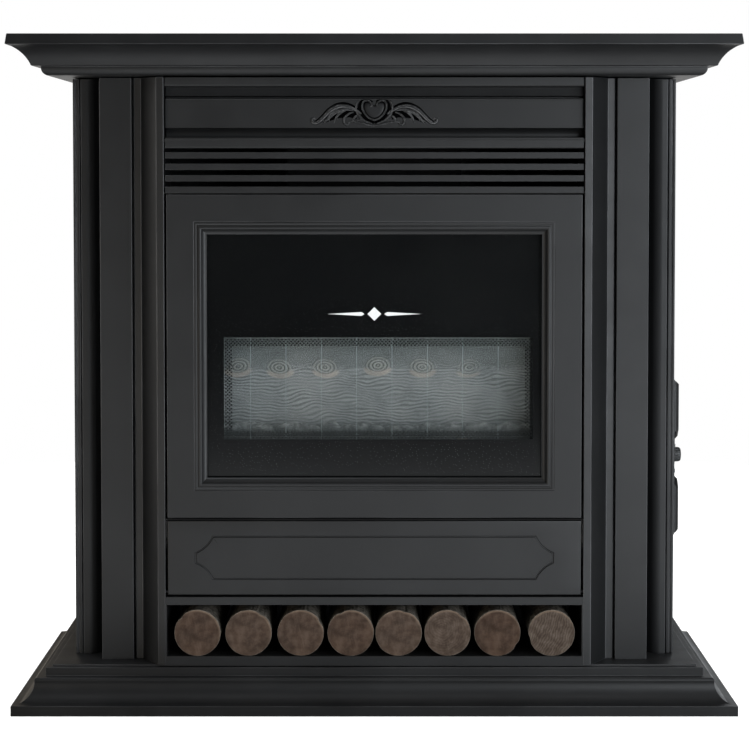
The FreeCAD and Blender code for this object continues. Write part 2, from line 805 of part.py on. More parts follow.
def screw(size, seat, direction):
    """Domed screw head on a seat."""
    diameter, height = size
    radius = ((diameter / 2) ** 2 + height ** 2) / (2 * height)
    ball = Part.makeSphere(radius, seat + direction * (height - radius))
    return single(ball.common(rod(diameter, height, seat, direction)))


def combustion_chamber():
    """Sheet box round the fire, open in front, with the flue outlet above and the gas way on the right."""
    half = chamber_width / 2
    shell = box((-half, half), (chamber_front, chamber_back), (chamber_bottom, chamber_top))
    inner = half - heavy_sheet
    shell = shell.cut(box((-inner, inner), (chamber_front, chamber_back - heavy_sheet),
                          (chamber_bottom + heavy_sheet, chamber_top - heavy_sheet)))
    throat = (chamber_back - hood_depth + heavy_sheet, chamber_back - heavy_sheet)
    shell = shell.cut(box(about(0, hood_width - 2 * heavy_sheet), throat,
                          (chamber_top - heavy_sheet, chamber_top)))
    gas_way = rod(pipe_diameter + 2 * hole_clearance, heavy_sheet, V(inner, burner_y, burner_z), rightwards)
    return single(shell.cut(gas_way))


def chamber_legs():
    """Two channels that carry the chamber on top of the log tray."""
    legs = []
    for side in (-1, 1):
        outer = chamber_width / 2
        lip, web = outer - leg_width, outer - heavy_sheet
        steps = [(lip, 0), (outer, 0), (outer, leg_depth), (lip, leg_depth), (lip, leg_depth - heavy_sheet),
                 (web, leg_depth - heavy_sheet), (web, heavy_sheet), (lip, heavy_sheet)]
        section = outline(steps, lambda x, y: V(side * x, chamber_front + y, tray_top))
        legs.append(section.extrude(V(0, 0, chamber_lift)))
    return legs


def window_frame():
    """Front plate of the chamber with the long window."""
    half = chamber_width / 2
    depth = (chamber_front - heavy_sheet, chamber_front)
    plate = box((-half, half), depth, (chamber_bottom, chamber_top))
    opening = box(about(0, window_width), depth, (window_bottom, window_bottom + window_height))
    return single(plate.cut(opening))


def glass_strips():
    """Upright strips of heat-proof glass behind the window, side by side."""
    width = window_width + 2 * window_side_rim
    pitch = width / strip_count
    strips = []
    for index in range(strip_count):
        x = -width / 2 + index * pitch
        strips.append(box((x + strip_joint / 2, x + pitch - strip_joint / 2),
                          (chamber_front, chamber_front + strip_thickness),
                          (window_bottom - window_rim, window_bottom + window_height + window_rim)))
    return strips


def strip_rails():
    """Two angle rails on the window plate that hold the strips' ends from behind."""
    half = window_width / 2 + window_side_rim
    y0, y1 = chamber_front, chamber_front + strip_thickness + sheet
    rails = []
    for z, out in ((window_bottom - window_rim, -1), (window_bottom + window_height + window_rim, 1)):
        steps = [(0, y0), (out * sheet, y0), (out * sheet, y1), (-out * window_rim / 2, y1),
                 (-out * window_rim / 2, y1 - sheet), (0, y1 - sheet)]
        rails.append(outline(steps, lambda h, y: V(-half, y, z + h)).extrude(V(2 * half, 0, 0)))
    return rails


def fire_shelf():
    """Shelf across the chamber under the ceramic log, turned down at its ends, with flame slots behind."""
    half = chamber_width / 2 - heavy_sheet
    depth = (shelf_front, shelf_front + shelf_depth)
    plate = box((-half, half), depth, (shelf_top - heavy_sheet, shelf_top))
    for side in (-1, 1):
        ends = sorted((side * half, side * (half - heavy_sheet)))
        plate = plate.fuse(box(ends, depth, (shelf_top - shelf_turn, shelf_top)))
    for index in range(flame_slots):
        x = (index - (flame_slots - 1) / 2) * flame_pitch
        plate = plate.cut(box((x - flame_slot[0] / 2, x + flame_slot[0] / 2),
                              (depth[1] - flame_slot[1] - flame_edge, depth[1] - flame_edge),
                              (shelf_top - heavy_sheet, shelf_top)))
    return single(plate)


def ceramic_log():
    """Moulded log: a tall rounded back with a row of sawn branch ends standing out of it."""
    y = shelf_front + fire_log_setback
    half = fire_log_length / 2
    top = shelf_top + fire_log_height
    crown = fire_log_depth / 2
    steps = [(y, shelf_top), (y, top - crown), (y + crown, top, y + fire_log_depth, top - crown),
             (y + fire_log_depth, shelf_top)]
    moulding = outline(steps, lambda depth, z: V(-half, depth, z)).extrude(V(fire_log_length, 0, 0))
    pitch = 2 * (half - knot_end) / (knot_count - 1)
    for index in range(knot_count):
        x = -half + knot_end + index * pitch
        knot = Part.makeCone(knot_size / 2 + knot_proud, knot_size / 2, 2 * knot_proud,
                             V(x, y + knot_proud, top - crown), -rearwards)
        moulding = moulding.fuse(knot)
    return single(moulding)


def ember_bed():
    """Strip of moulded embers in front of the log: a low bar with a row of round lumps."""
    half = fire_log_length / 2
    y0 = shelf_front + ember_gap
    y1 = shelf_front + fire_log_setback - knot_proud
    middle = (y0 + y1) / 2
    radius = (y1 - y0) / 2 - ember_rim
    bed = box((-half, half), (y0, y1), (shelf_top, shelf_top + ember_bar))
    pitch = 2 * (half - radius - ember_rim) / (ember_count - 1)
    for index in range(ember_count):
        x = -half + radius + ember_rim + index * pitch
        lump = Part.makeSphere(radius, V(x, middle, shelf_top + ember_bar))
        rise = (shelf_top + ember_bar / 2, shelf_top + ember_bar + 2 * radius)
        bed = bed.fuse(lump.common(box(about(x, 4 * radius), (y0, y1), rise)))
    return single(bed)


def burner_tube():
    """Closed burner tube with a row of flame ports along its top."""
    start = V(-burner_length / 2, burner_y, burner_z)
    tube = rod(burner_diameter, burner_length, start, rightwards)
    wall = burner_wall
    inside = start + rightwards * wall
    tube = tube.cut(rod(burner_diameter - 2 * wall, burner_length - 2 * wall, inside, rightwards))
    for index in range(port_count):
        x = (index - (port_count - 1) / 2) * port_pitch
        above = (burner_z, burner_z + burner_diameter)
        tube = tube.cut(box(about(x, port[0]), about(burner_y, port[1]), above))
    return single(tube)


def burner_brackets():
    """Two saddles that carry the burner tube on the chamber floor."""
    floor = chamber_bottom + heavy_sheet
    start = V(-burner_length / 2, burner_y, burner_z)
    tube = rod(burner_diameter + 2 * curve_gap, burner_length, start, rightwards)
    saddles = []
    for side in (-1, 1):
        x = side * bracket_spread
        post = box(about(x, 2 * heavy_sheet), about(burner_y, burner_diameter), (floor, burner_z))
        saddles.append(single(post.cut(tube)))
    return saddles


def hexagon(across, length, start, direction):
    """Hexagonal bar from a start point along X or Y. Across is its width over the corners."""
    side_way = upwards.cross(direction)
    corners = [start + side_way * (across / 2 * math.cos(k * math.pi / 3))
               + upwards * (across / 2 * math.sin(k * math.pi / 3)) for k in range(7)]
    return Part.Face(Part.makePolygon(corners)).extrude(direction * length)


def injector():
    """Brass gas jet at the burner's right end, with a hexagon for the spanner."""
    return hexagon(jet_hexagon, jet_length, V(burner_length / 2, burner_y, burner_z), rightwards)


def burner_feed_pipe():
    """Straight pipe from the valve to the injector."""
    x = burner_length / 2 + jet_length
    return rod(pipe_diameter, valve_left - x, V(x, burner_y, burner_z), rightwards)


def upright(x, diameter, height):
    """Rod standing on the chamber floor in front of the burner."""
    return rod(diameter, height, V(x, pilot_y, chamber_bottom + heavy_sheet), upwards)


def pilot_burner():
    """Pilot jet with a hood."""
    post = upright(pilot_x, pilot_diameter, pilot_height)
    hood = upright(pilot_x, pilot_hood, pilot_height)
    top = chamber_bottom + heavy_sheet + pilot_height
    cap = hood.common(box((pilot_x - pilot_hood, pilot_x + pilot_hood),
                          (pilot_y - pilot_hood, pilot_y + pilot_hood), (top - pilot_diameter, top)))
    return single(post.fuse(cap))


def probe(side, thick, thin):
    """Stepped rod beside the pilot: a body below and a thin tip above."""
    x = pilot_x + side * probe_spacing
    body = upright(x, thick, pilot_height - probe_step)
    return single(body.fuse(upright(x, thin, pilot_height)))


def draft_hood():
    """Box over the chamber's outlet that leads the fumes back to the flue."""
    depth = (chamber_back - hood_depth, chamber_back)
    hood = box(about(0, hood_width), depth, (chamber_top, chamber_top + hood_height))
    inside = (depth[0] + heavy_sheet, depth[1] - heavy_sheet)
    hood = hood.cut(box(about(0, hood_width - 2 * heavy_sheet), inside,
                        (chamber_top, chamber_top + hood_height - heavy_sheet)))
    way = flue_diameter - 2 * flue_wall
    return single(hood.cut(rod(way, heavy_sheet, V(0, chamber_back - heavy_sheet, flue_z), rearwards)))


def flue_spigot():
    """Round collar that a flue pipe slides over, with a stop bead against the rear panel's outside."""
    start = V(0, chamber_back, flue_z)
    length = back + flue_reach - chamber_back
    collar = rod(flue_diameter, length, start, rearwards)
    bead = rod(flue_diameter + 2 * flue_bead, flue_bead, V(0, rear + sheet, flue_z), rearwards)
    return single(collar.fuse(bead).cut(rod(flue_diameter - 2 * flue_wall, length, start, rearwards)))


def control_holes(x, length):
    """Clearance holes for the valve spindle and the igniter stem through a sheet on the right side."""
    return [rod(spindle_diameter + 2 * hole_clearance, length, V(x, control_y, knob_z), rightwards),
            rod(stem_diameter + 2 * hole_clearance, length, V(x, control_y, igniter_z), rightwards)]


def control_escutcheon():
    """Plate on the right side with two raised panels whose inner corners are cut off."""
    half = escutcheon_width / 2
    low, high = escutcheon_low, escutcheon_high
    x = half_casing
    plate = box((x, x + escutcheon_thickness), (control_y - half, control_y + half), (low, high))
    inner = half - raised_margin
    cut = inner - raised_corner
    for edge, into, size in ((low + raised_margin, 1, raised_lower), (high - raised_margin, -1, raised_upper)):
        end = edge + into * size
        knee = end - into * raised_corner
        steps = [(-inner, edge), (inner, edge), (inner, knee), (cut, end), (-cut, end), (-inner, knee)]
        raised = outline(steps, lambda y, z: V(x + escutcheon_thickness, control_y + y, z))
        plate = plate.fuse(raised.extrude(V(raised_thickness, 0, 0)))
    plate = plate.cut(control_holes(x, escutcheon_thickness)[0])
    reach = escutcheon_thickness + raised_thickness
    button_hole = rod(button_diameter + 2 * hole_clearance, reach, V(x, control_y, igniter_z), rightwards)
    return single(plate.cut(button_hole))


def escutcheon_screws():
    """Four small domed screws in the corners of the plate between the raised panels."""
    half = escutcheon_width / 2 - plate_screw_inset
    low = escutcheon_low + raised_margin + raised_lower
    high = escutcheon_high - raised_margin - raised_upper
    seats = [(y, z) for y in (-half, half) for z in (low + plate_screw_rise, high - plate_screw_rise)]
    x = half_casing + escutcheon_thickness
    return [screw(plate_screw, V(x, control_y + y, z), rightwards) for y, z in seats]


def gas_valve():
    """Brass valve body behind the side panel, with a round neck and the spindle's bore."""
    size = valve_size
    body = box((valve_left, valve_left + size[0]), about(control_y, size[1]), about(knob_z, size[2]))
    neck_start = V(valve_left + size[0], control_y, knob_z)
    body = body.fuse(rod(valve_neck[0], valve_neck[1], neck_start, rightwards))
    mouth = V(bracket_x, control_y, knob_z)
    return single(body.cut(rod(spindle_diameter + 2 * running_fit, valve_bore, mouth, -rightwards)))


def valve_spindle():
    """Spindle between the valve and the knob."""
    start = bracket_x - valve_bore + curve_gap
    return rod(spindle_diameter, knob_x + knob_bore - start, V(start, control_y, knob_z), rightwards)


def control_knob():
    """Fluted knob with a pointer groove, bored to fit on the spindle."""
    knob = rod(knob_diameter, knob_length, V(knob_x, control_y, knob_z), rightwards)
    for index in range(knob_flutes):
        angle = 2 * math.pi * index / knob_flutes
        y = control_y + knob_diameter / 2 * math.sin(angle)
        z = knob_z + knob_diameter / 2 * math.cos(angle)
        start = V(knob_x + knob_collar, y, z)
        knob = knob.cut(rod(knob_flute, knob_length - knob_collar, start, rightwards))
    end = knob_x + knob_length
    pointer = box((end - pointer_groove, end), about(control_y, pointer_groove),
                  (knob_z, knob_z + knob_diameter))
    bore = rod(spindle_diameter + 2 * running_fit, knob_bore, V(knob_x, control_y, knob_z), rightwards)
    return single(knob.cut([pointer, bore]))


def valve_bracket():
    """Plate on the inside of the side panel that carries the valve and the igniter."""
    plate = box((bracket_x, bracket_x + bracket_thickness), about(control_y, valve_size[1]),
                (igniter_z - piezo_size[0], knob_z + valve_size[2] / 2))
    return single(plate.cut(control_holes(bracket_x, bracket_thickness)))


def piezo_igniter():
    """Spark generator behind the button, with a bore for the button's stem."""
    body = rod(piezo_size[0], piezo_size[1], V(bracket_x - piezo_size[1], control_y, igniter_z), rightwards)
    mouth = V(bracket_x, control_y, igniter_z)
    return body.cut(rod(stem_diameter + 2 * running_fit, piezo_bore, mouth, -rightwards))


def igniter_button():
    """Push button with a domed end and a stem into the spark generator."""
    end = half_casing + escutcheon_thickness + raised_thickness + button_proud
    cap_back = half_casing + button_travel + curve_gap
    cap = rod(button_diameter, end - cap_back, V(cap_back, control_y, igniter_z), rightwards)
    dome = Part.makeSphere(button_diameter, V(end - button_diameter, control_y, igniter_z))
    stem_start = bracket_x - piezo_bore + button_travel + curve_gap
    stem = rod(stem_diameter, cap_back - stem_start, V(stem_start, control_y, igniter_z), rightwards)
    return single(cap.common(dome).fuse(stem))


def gas_inlet_nipple():
    """Threaded inlet through the rear panel: a collar inside, a hexagon outside and the free thread."""
    inside = V(inlet_x, rear - nipple_collar, inlet_z)
    outside = V(inlet_x, rear + sheet, inlet_z)
    length = nipple_collar + sheet + nipple_hexagon[1] + inlet_length
    nipple = rod(inlet_diameter, length, inside, rearwards)
    return single(nipple.fuse([rod(nipple_collar_diameter, nipple_collar, inside, rearwards),
                               hexagon(nipple_hexagon[0], nipple_hexagon[1], outside, rearwards)]))


def inlet_pipe():
    """Pipe from the inlet forwards and, after one bend, up into the valve."""
    y0 = rear - nipple_collar
    top = knob_z - valve_size[2] / 2
    corner = V(inlet_x, control_y, inlet_z)
    bend_start = corner + V(0, pipe_bend, 0)
    bend_end = corner + V(0, 0, pipe_bend)
    diagonal = pipe_bend * (1 - math.sqrt(0.5))
    middle = corner + V(0, diagonal, diagonal)
    runs = [Part.LineSegment(V(inlet_x, y0, inlet_z), bend_start).toShape(),
            Part.Arc(bend_start, middle, bend_end).toShape(),
            Part.LineSegment(bend_end, V(inlet_x, control_y, top)).toShape()]
    return bar_along(runs, pipe_diameter)


os.makedirs("parts", exist_ok=True)

save("base_plinth", base_plinth())
save("floor_plate", floor_plate())
save("mantel_top", mantel_top())
for name, side in (("left", -1), ("right", 1)):
    save(name + "_pilaster", pilaster(side))
    save(name + "_side_panel", side_panel(side))
save("rear_panel", rear_panel())
save("header_fascia", header_fascia())
save("frieze_ornament", frieze_ornament())
save("louvre_slats", *[louvre_slat(index) for index in range(louvre_count)])
save("door_lintel", door_carrier(door_top + (sill_gap - sheet) / 2))
save("door_sill", door_carrier(flap_top + (sill_gap - sheet) / 2))
save("door_magnet", door_magnet())

save("door_frame", door_frame())
save("glass_bead", glass_bead())
save("glass_gasket", glass_gasket())
save("door_glass", pane(glass_overlap, bead_depth + gasket_thickness, glass_thickness))
save("glass_clips", *glass_clips())
save("door_pivot_pins", *door_pivot_pins())
save("door_catch_plate", door_catch_plate())
save("access_flap", access_flap())
save("flap_pins", *flap_pins())

save("log_tray", log_tray())
for index, x in enumerate(log_centres()):
    save("log_%d" % (index + 1), log(x))
screw_seats = [V(side * tray_screw_spread, tray_back - sheet, log_floor + tray_screw_lift) for side in (-1, 1)]
save("tray_screws", *[screw(tray_screw, seat, -rearwards) for seat in screw_seats])

save("chamber_legs", *chamber_legs())
save("combustion_chamber", combustion_chamber())
save("window_frame", window_frame())
save("glass_strips", *glass_strips())
save("strip_rails", *strip_rails())
save("fire_shelf", fire_shelf())
save("ceramic_log", ceramic_log())
save("ember_bed", ember_bed())
save("burner_tube", burner_tube())
save("burner_brackets", *burner_brackets())
save("injector", injector())
save("burner_feed_pipe", burner_feed_pipe())
save("pilot_burner", pilot_burner())
save("thermocouple", probe(1, thermocouple_size[0], thermocouple_size[1]))
save("spark_electrode", probe(-1, electrode_size[0], electrode_size[1]))
save("draft_hood", draft_hood())
save("flue_spigot", flue_spigot())

save("control_escutcheon", control_escutcheon())
save("escutcheon_screws", *escutcheon_screws())
save("valve_bracket", valve_bracket())
save("gas_valve", gas_valve())
save("valve_spindle", valve_spindle())
save("control_knob", control_knob())
save("piezo_igniter", piezo_igniter())
save("igniter_button", igniter_button())
save("gas_inlet_nipple", gas_inlet_nipple())
save("inlet_pipe", inlet_pipe())
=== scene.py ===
import math

import bmesh
import bpy
import numpy as np
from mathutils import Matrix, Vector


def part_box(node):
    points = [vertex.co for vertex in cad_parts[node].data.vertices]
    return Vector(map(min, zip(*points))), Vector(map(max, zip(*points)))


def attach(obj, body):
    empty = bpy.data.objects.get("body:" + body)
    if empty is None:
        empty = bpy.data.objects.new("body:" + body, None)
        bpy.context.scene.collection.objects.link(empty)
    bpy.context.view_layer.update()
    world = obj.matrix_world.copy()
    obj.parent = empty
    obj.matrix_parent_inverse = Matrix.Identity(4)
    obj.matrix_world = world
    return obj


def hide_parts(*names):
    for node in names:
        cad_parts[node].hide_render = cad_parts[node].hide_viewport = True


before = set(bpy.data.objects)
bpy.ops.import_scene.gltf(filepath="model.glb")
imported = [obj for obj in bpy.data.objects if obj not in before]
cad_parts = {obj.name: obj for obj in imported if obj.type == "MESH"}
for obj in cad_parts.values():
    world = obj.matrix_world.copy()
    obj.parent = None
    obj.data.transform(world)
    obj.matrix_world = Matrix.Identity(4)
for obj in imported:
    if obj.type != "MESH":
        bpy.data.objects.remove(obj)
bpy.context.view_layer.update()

# Base plinth: one skirt pressed from steel sheet, with an upright foot, a hollow curve, a nose and a step.
# It runs round three sides, is mitred and welded at the front corners, and is open underneath.
# Like the rest of the casing it is sprayed satin charcoal black. All sizes in this file are millimetres.
sheet = 1.5
base_foot = 13.5
base_lip = 3.0
base_cove = (27.0, 39.0)
base_nose = (29.0, 44.0)
base_riser = 40.0
base_joint_depth = 8.0
base_joint_height = 2.4
base_fold = 1.0
quarter_bulge = (math.sqrt(2) - 1) / 2
paint_dark = (0.0040, 0.0042, 0.0046, 1)
paint_pale = (0.0062, 0.0065, 0.0070, 1)
paint_dust = (0.0130, 0.0127, 0.0122, 1)
# Paler tones for the rounded edges: a painted highlight along every fold.
edge_highlight_dark = (0.008, 0.008, 0.009, 1)
edge_highlight_pale = (0.036, 0.037, 0.039, 1)


def node_box(name):
    """Lowest and highest corner of a piece of the frame, in millimetres."""
    return np.array(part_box(name)) * 1000


def arc(start, end, bulge, count=14):
    """Points on a circle from start to end: its middle leaves the chord sideways by bulge times the chord."""
    start = np.array(start, float)
    chord = np.array(end, float) - start
    length = np.hypot(chord[0], chord[1])
    sideways = np.array([chord[1], -chord[0]]) / length
    radius = length * (0.25 + bulge ** 2) / (2 * bulge)
    centre = start + chord / 2 + sideways * (bulge * length - radius)
    spoke = start - centre
    turn = np.linspace(0, 4 * math.atan(2 * bulge), count)[:, None]
    return centre + spoke * np.cos(turn) + np.array([-spoke[1], spoke[0]]) * np.sin(turn)


def profile_of(*runs):
    """One list of points from single points and arcs. A point that repeats the one before it is left out."""
    points = np.vstack([np.atleast_2d(run) for run in runs])
    step = np.abs(np.diff(points, axis=0)).max(axis=1)
    return points[np.concatenate([[True], step > 1e-6])]


def quads(rows, columns, round_rows=False, round_columns=False):
    """Corner numbers of the squares of a grid stored row by row. A round direction joins end to start."""
    row, column = np.meshgrid(np.arange(rows if round_rows else rows - 1),
                              np.arange(columns if round_columns else columns - 1), indexing="ij")
    next_row = (row + 1) % rows
    next_column = (column + 1) % columns
    corners = [row * columns + column, row * columns + next_column,
               next_row * columns + next_column, next_row * columns + column]
    return np.stack(corners, axis=-1).reshape(-1, 4).tolist()


def mitred_skirt(profile, half_width, y_front, y_back):
    """A profile of (inset, height) carried along the left side, the front and the right side of a block.

    At a front corner each point stands its own inset in from both faces, which makes the mitre. One face
    closes the top and one the back.
    """
    inset, height = profile[:, :1], profile[:, 1:]
    x = (half_width - inset) * np.array([-1, -1, 1, 1])
    y = np.where([True, False, False, True], y_back, y_front + inset)
    corner = np.arange(x.size).reshape(x.shape)
    closing = [corner[-1].tolist(), corner[:, 0].tolist() + corner[::-1, 3].tolist()]
    return np.stack([x, y, np.broadcast_to(height, x.shape)], axis=-1), quads(len(profile), 4) + closing


class Finish:
    """A material made of nodes, with the means to build it: clouds, spans of a value, mixes and bumps."""

    def __init__(self, name, **sockets):
        self.material = bpy.data.materials.new(name)
        self.material.use_nodes = True
        self.tree = self.material.node_tree
        self.shader = self.tree.nodes["Principled BSDF"]
        self.place = self.node("TexCoord").outputs["Object"]
        self.coat(**sockets)

    def join(self, socket, value):
        """Set a socket to a value, or link it to another node's output."""
        if isinstance(value, bpy.types.NodeSocket):
            self.tree.links.new(value, socket)
        else:
            socket.default_value = value

    def node(self, kind, settings=None, **sockets):
        """Shader node of a kind, with its own settings and its sockets."""
        node = self.tree.nodes.new("ShaderNode" + kind)
        for key, value in (settings or {}).items():
            setattr(node, key, value)
        for key, value in sockets.items():
            self.join(node.inputs[key.replace("_", " ")], value)
        return node

    def coat(self, **sockets):
        """Give the shader its sockets, such as base colour and roughness."""
        for key, value in sockets.items():
            self.join(self.shader.inputs[key.replace("_", " ")], value)

    def maths(self, operation, *values):
        """Product, sine or another operation on values."""
        node = self.node("Math", {"operation": operation})
        for socket, value in zip(node.inputs, values):
            self.join(socket, value)
        return node.outputs[0]

    def stored(self, name, socket="Fac"):
        """A value stored on the piece's points."""
        return self.node("Attribute", {"attribute_name": name}).outputs[socket]

    def height(self):
        """Height on the piece, in metres."""
        return self.node("SeparateXYZ", Vector=self.place).outputs["Z"]

    def cloud(self, scale, detail=3.0, place=None, roughness=0.55, distortion=0.0):
        """Soft noise with a scale in patches per metre, as a value from 0 to 1."""
        place = self.place if place is None else place
        return self.node("TexNoise", Vector=place, Scale=scale, Detail=detail, Roughness=roughness,
                         Distortion=distortion).outputs[0]

    def span(self, value, low, high, to_low=0.0, to_high=1.0):
        """A value between two limits, stretched smoothly to two others."""
        return self.node("MapRange", {"interpolation_type": "SMOOTHSTEP"}, Value=value, From_Min=low,
                         From_Max=high, To_Min=to_low, To_Max=to_high).outputs[0]

    def patches(self, scale, detail, *limits):
        """Soft noise stretched between limits."""
        return self.span(self.cloud(scale, detail), *limits)

    def mix(self, share, first, second):
        """Mix of two colours by a share."""
        return self.node("MixRGB", Fac=share, Color1=first, Color2=second).outputs[0]

    def bump(self, *layers):
        """Raise the surface by layers of (height, strength, distance in metres), one on top of another."""
        normal = None
        for height, strength, distance in layers:
            layer = self.node("Bump", Height=height, Strength=strength, Distance=distance)
            if normal is not None:
                self.join(layer.inputs["Normal"], normal)
            normal = layer.outputs[0]
        self.coat(Normal=normal)


def satin_paint(name, dark, pale, smooth, rough, gloss=0.5):
    """Sprayed paint: two tones in soft clouds, orange peel a millimetre across, and dust on what faces up."""
    paint = Finish(name, IOR=1.48, Specular_IOR_Level=gloss)
    tone = paint.mix(paint.patches(5.0, 3.0, 0.35, 0.65), dark, pale)
    tone = paint.mix(paint.patches(900.0, 2.0, 0.62, 0.75, 0.0, 0.5), tone, pale)
    facing = paint.node("NewGeometry").outputs["Normal"]
    upward = paint.node("SeparateXYZ", Vector=facing).outputs["Z"]
    settled = paint.maths("MULTIPLY", paint.span(upward, 0.75, 0.98, 0.0, 0.28),
                          paint.patches(14.0, 5.0, 0.3, 0.75))
    paint.coat(Base_Color=paint.mix(settled, tone, paint_dust),
               Roughness=paint.patches(30.0, 4.0, 0.3, 0.7, smooth, rough))
    paint.bump((paint.cloud(700.0, 2.0), 0.10, 0.0006), (paint.cloud(60.0, 2.0), 0.05, 0.001))
    return paint


def make_piece(name, points, faces, finish, body, slot, nodes=(), wall=0.0, edge=0.0, sharp=40.0, weld=False):
    """Piece at the origin from points in millimetres, its faces turned outwards and shaded smooth.

    Wall gives an open skin its sheet thickness, inwards. Edge rounds every edge sharper than 30 degrees and
    gives the rounding a paler paint, a painted highlight along the edge.
    """
    mesh = bpy.data.meshes.new(name)
    mesh.from_pydata((np.reshape(points, (-1, 3)) / 1000).tolist(), [], faces)
    shape = bmesh.new()
    shape.from_mesh(mesh)
    if weld:
        bmesh.ops.remove_doubles(shape, verts=shape.verts, dist=1e-6)
    bmesh.ops.recalc_face_normals(shape, faces=shape.faces)
    shape.to_mesh(mesh)
    shape.free()
    mesh.shade_smooth()
    mesh.materials.append(finish.material)
    piece = bpy.data.objects.new(name, mesh)
    bpy.context.scene.collection.objects.link(piece)
    if wall:
        skin = piece.modifiers.new("sheet", "SOLIDIFY")
        skin.thickness = wall / 1000
        skin.offset = -1
        skin.use_even_offset = True
    if edge:
        # The rounding gets the paler paint: a painted highlight.
        mesh.materials.append(edge_highlight_paint.material)
        fold = piece.modifiers.new("fold", "BEVEL")
        fold.width = edge / 1000
        fold.segments = 3
        fold.limit_method = "ANGLE"
        fold.angle_limit = math.radians(30)
        fold.harden_normals = True
        fold.material = 1
    else:
        mesh.set_sharp_from_angle(angle=math.radians(sharp))
    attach(piece, body)
    if nodes:
        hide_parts(*nodes)
    return piece


casing_paint = satin_paint("satin_casing_paint", paint_dark, paint_pale, 0.44, 0.50)
# Paler paint for rounded edges: a painted highlight where the folds catch the light.
edge_highlight_paint = satin_paint("painted_edge_highlight", edge_highlight_dark, edge_highlight_pale, 0.36, 0.48)
(_, front, _), (half_base, back, base_height) = node_box("base_plinth")
base_step = base_height - base_joint_height
base_deck = base_riser + base_joint_depth
base_profile = profile_of((0, 0), (0, base_foot), arc((base_lip, base_foot), base_cove, quarter_bulge),
                          arc(base_cove, base_nose, -quarter_bulge, 6), (base_riser, base_nose[1]),
                          (base_riser, base_step), (base_deck, base_step), (base_deck, base_height))
make_piece("plinth", *mitred_skirt(base_profile, half_base, front, back), casing_paint, "casing",
           "casing_paint", ["base_plinth"], wall=sheet, edge=base_fold)

# Mantel: a flat slab over a hollow curve, a small nose, a flat soffit and a round moulding on the casing.
# It is pressed like the plinth and mitred at the front corners; its back is flush with the plinth's back.
(_, mantel_front, casing_top), (half_mantel, _, total_height) = node_box("mantel_top")
slab_foot = total_height - 13.8
slab_lean = 2.0
soffit = casing_top + 13.5
mantel_lip = 2.0
mantel_cove_foot = (28.3, soffit + 2.0)
mantel_cove_bulge = 0.105
mantel_nose_foot = (30.4, soffit)
mantel_inner = 40.4
mantel_round_foot = (47.8, casing_top + 1.5)
mantel_fold = 1.2
mantel_profile = profile_of(arc(mantel_round_foot, (mantel_inner, soffit), -quarter_bulge),
                            arc(mantel_nose_foot, mantel_cove_foot, -quarter_bulge, 6),
                            arc(mantel_cove_foot, (mantel_lip, slab_foot), mantel_cove_bulge, 20),
                            (0, slab_foot), (slab_lean, total_height))
mantel_points, mantel_faces = mitred_skirt(mantel_profile, half_mantel, mantel_front, back)
mantel_underside = [0, 1, 2, 3]
make_piece("mantel", mantel_points, mantel_faces + [mantel_underside], casing_paint, "casing", "casing_paint",
           ["mantel_top"], edge=mantel_fold)

# Pilasters: folded steel posts with a jamb, a deep splay, a groove, a raised flat, a channel and a round.
# They stand on the plinth under the mantel and carry the door, the flap and the header between them.
(half_opening, face, _), (half_casing, pilaster_back, _) = node_box("right_pilaster")
pilaster_widths = [10.2, 23.5, 9.5, 2.6, 42.6, 11.0, 18.1, 1.9, 9.2]
jamb_lean = 1.0
splay_deep = 38.0
groove_deep = 50.0
flat_deep = 34.0
channel_deep = 84.0
channel_bed = 2.5
round_deep = 67.0
round_fall = 4.4
round_width = 12.0
round_bulge = 0.092
bed_deep = 76.0
edge_deep = 71.0
edge_border = 4.2
edge_line = 1.9
pilaster_fold = 0.9
post_deep = pilaster_back - face
(jamb_end, splay_end, land_end, groove_end, flat_end, channel_end, round_end, bed_end,
 edge_end) = np.cumsum(pilaster_widths)
line_start = bed_end + edge_border
line_end = line_start + edge_line
pilaster_section = profile_of(
    (0, 0), (jamb_end, jamb_lean), (splay_end, splay_deep), (land_end, splay_deep + jamb_lean),
    (land_end, groove_deep), (groove_end, groove_deep), (groove_end, flat_deep), (flat_end, flat_deep),
    (flat_end, channel_deep), (flat_end + channel_bed, channel_deep),
    arc((channel_end, round_deep + round_fall), (channel_end + round_width, round_deep), round_bulge, 24),
    (round_end, round_deep), (round_end, bed_deep), (bed_end, bed_deep), (bed_end, edge_deep),
    (line_start, edge_deep), (line_start, edge_deep + edge_line), (line_end, edge_deep + edge_line),
    (line_end, edge_deep), (edge_end, edge_deep), (edge_end, post_deep), (0, post_deep))


def tube_faces(rows, columns):
    """Faces of a closed tube stored ring by ring: its wall, and one face on its first and its last ring."""
    ends = [list(range(columns)), list(range((rows - 1) * columns, rows * columns))]
    return quads(rows, columns, round_columns=True) + ends


def straight_bar(outline, axis, start, end):
    """A closed outline carried straight along one axis. The outline's points lie on the other two axes."""
    outline = np.asarray(outline, float)
    points = np.array([np.insert(outline, axis, level, axis=1) for level in (start, end)])
    return points, tube_faces(2, len(outline))


for hand, side in ((-1, "left"), (1, "right")):
    post_outline = (pilaster_section + (half_opening, face)) * (hand, 1)
    post = straight_bar(post_outline, 2, base_height, casing_top)
    make_piece(side + "_post", *post, casing_paint, "casing", "casing_paint", [side + "_pilaster"],
               edge=pilaster_fold)

# Side and rear panels: plain folded sheets between pilasters, plinth and mantel, as the frame gives them.
# The rear panel has the flue hole, the gas hole and two rows of air slots, and is held by tap screws.
rear_face = node_box("rear_panel")[1][1]
rear_screw = 8.0
rear_screw_rise = 2.4
rear_edge = half_casing - 9.0
rear_edge_heights = np.linspace(base_height + 26, casing_top - 24, 6)
rear_columns = (-270, -90, 90, 270)
rear_rows = (base_height + 9, casing_top - 9)
rearwards = [(1, 0, 0), (0, 0, -1), (0, 1, 0)]
zinc_bright = (0.42, 0.43, 0.44, 1)
zinc_dull = (0.30, 0.30, 0.30, 1)


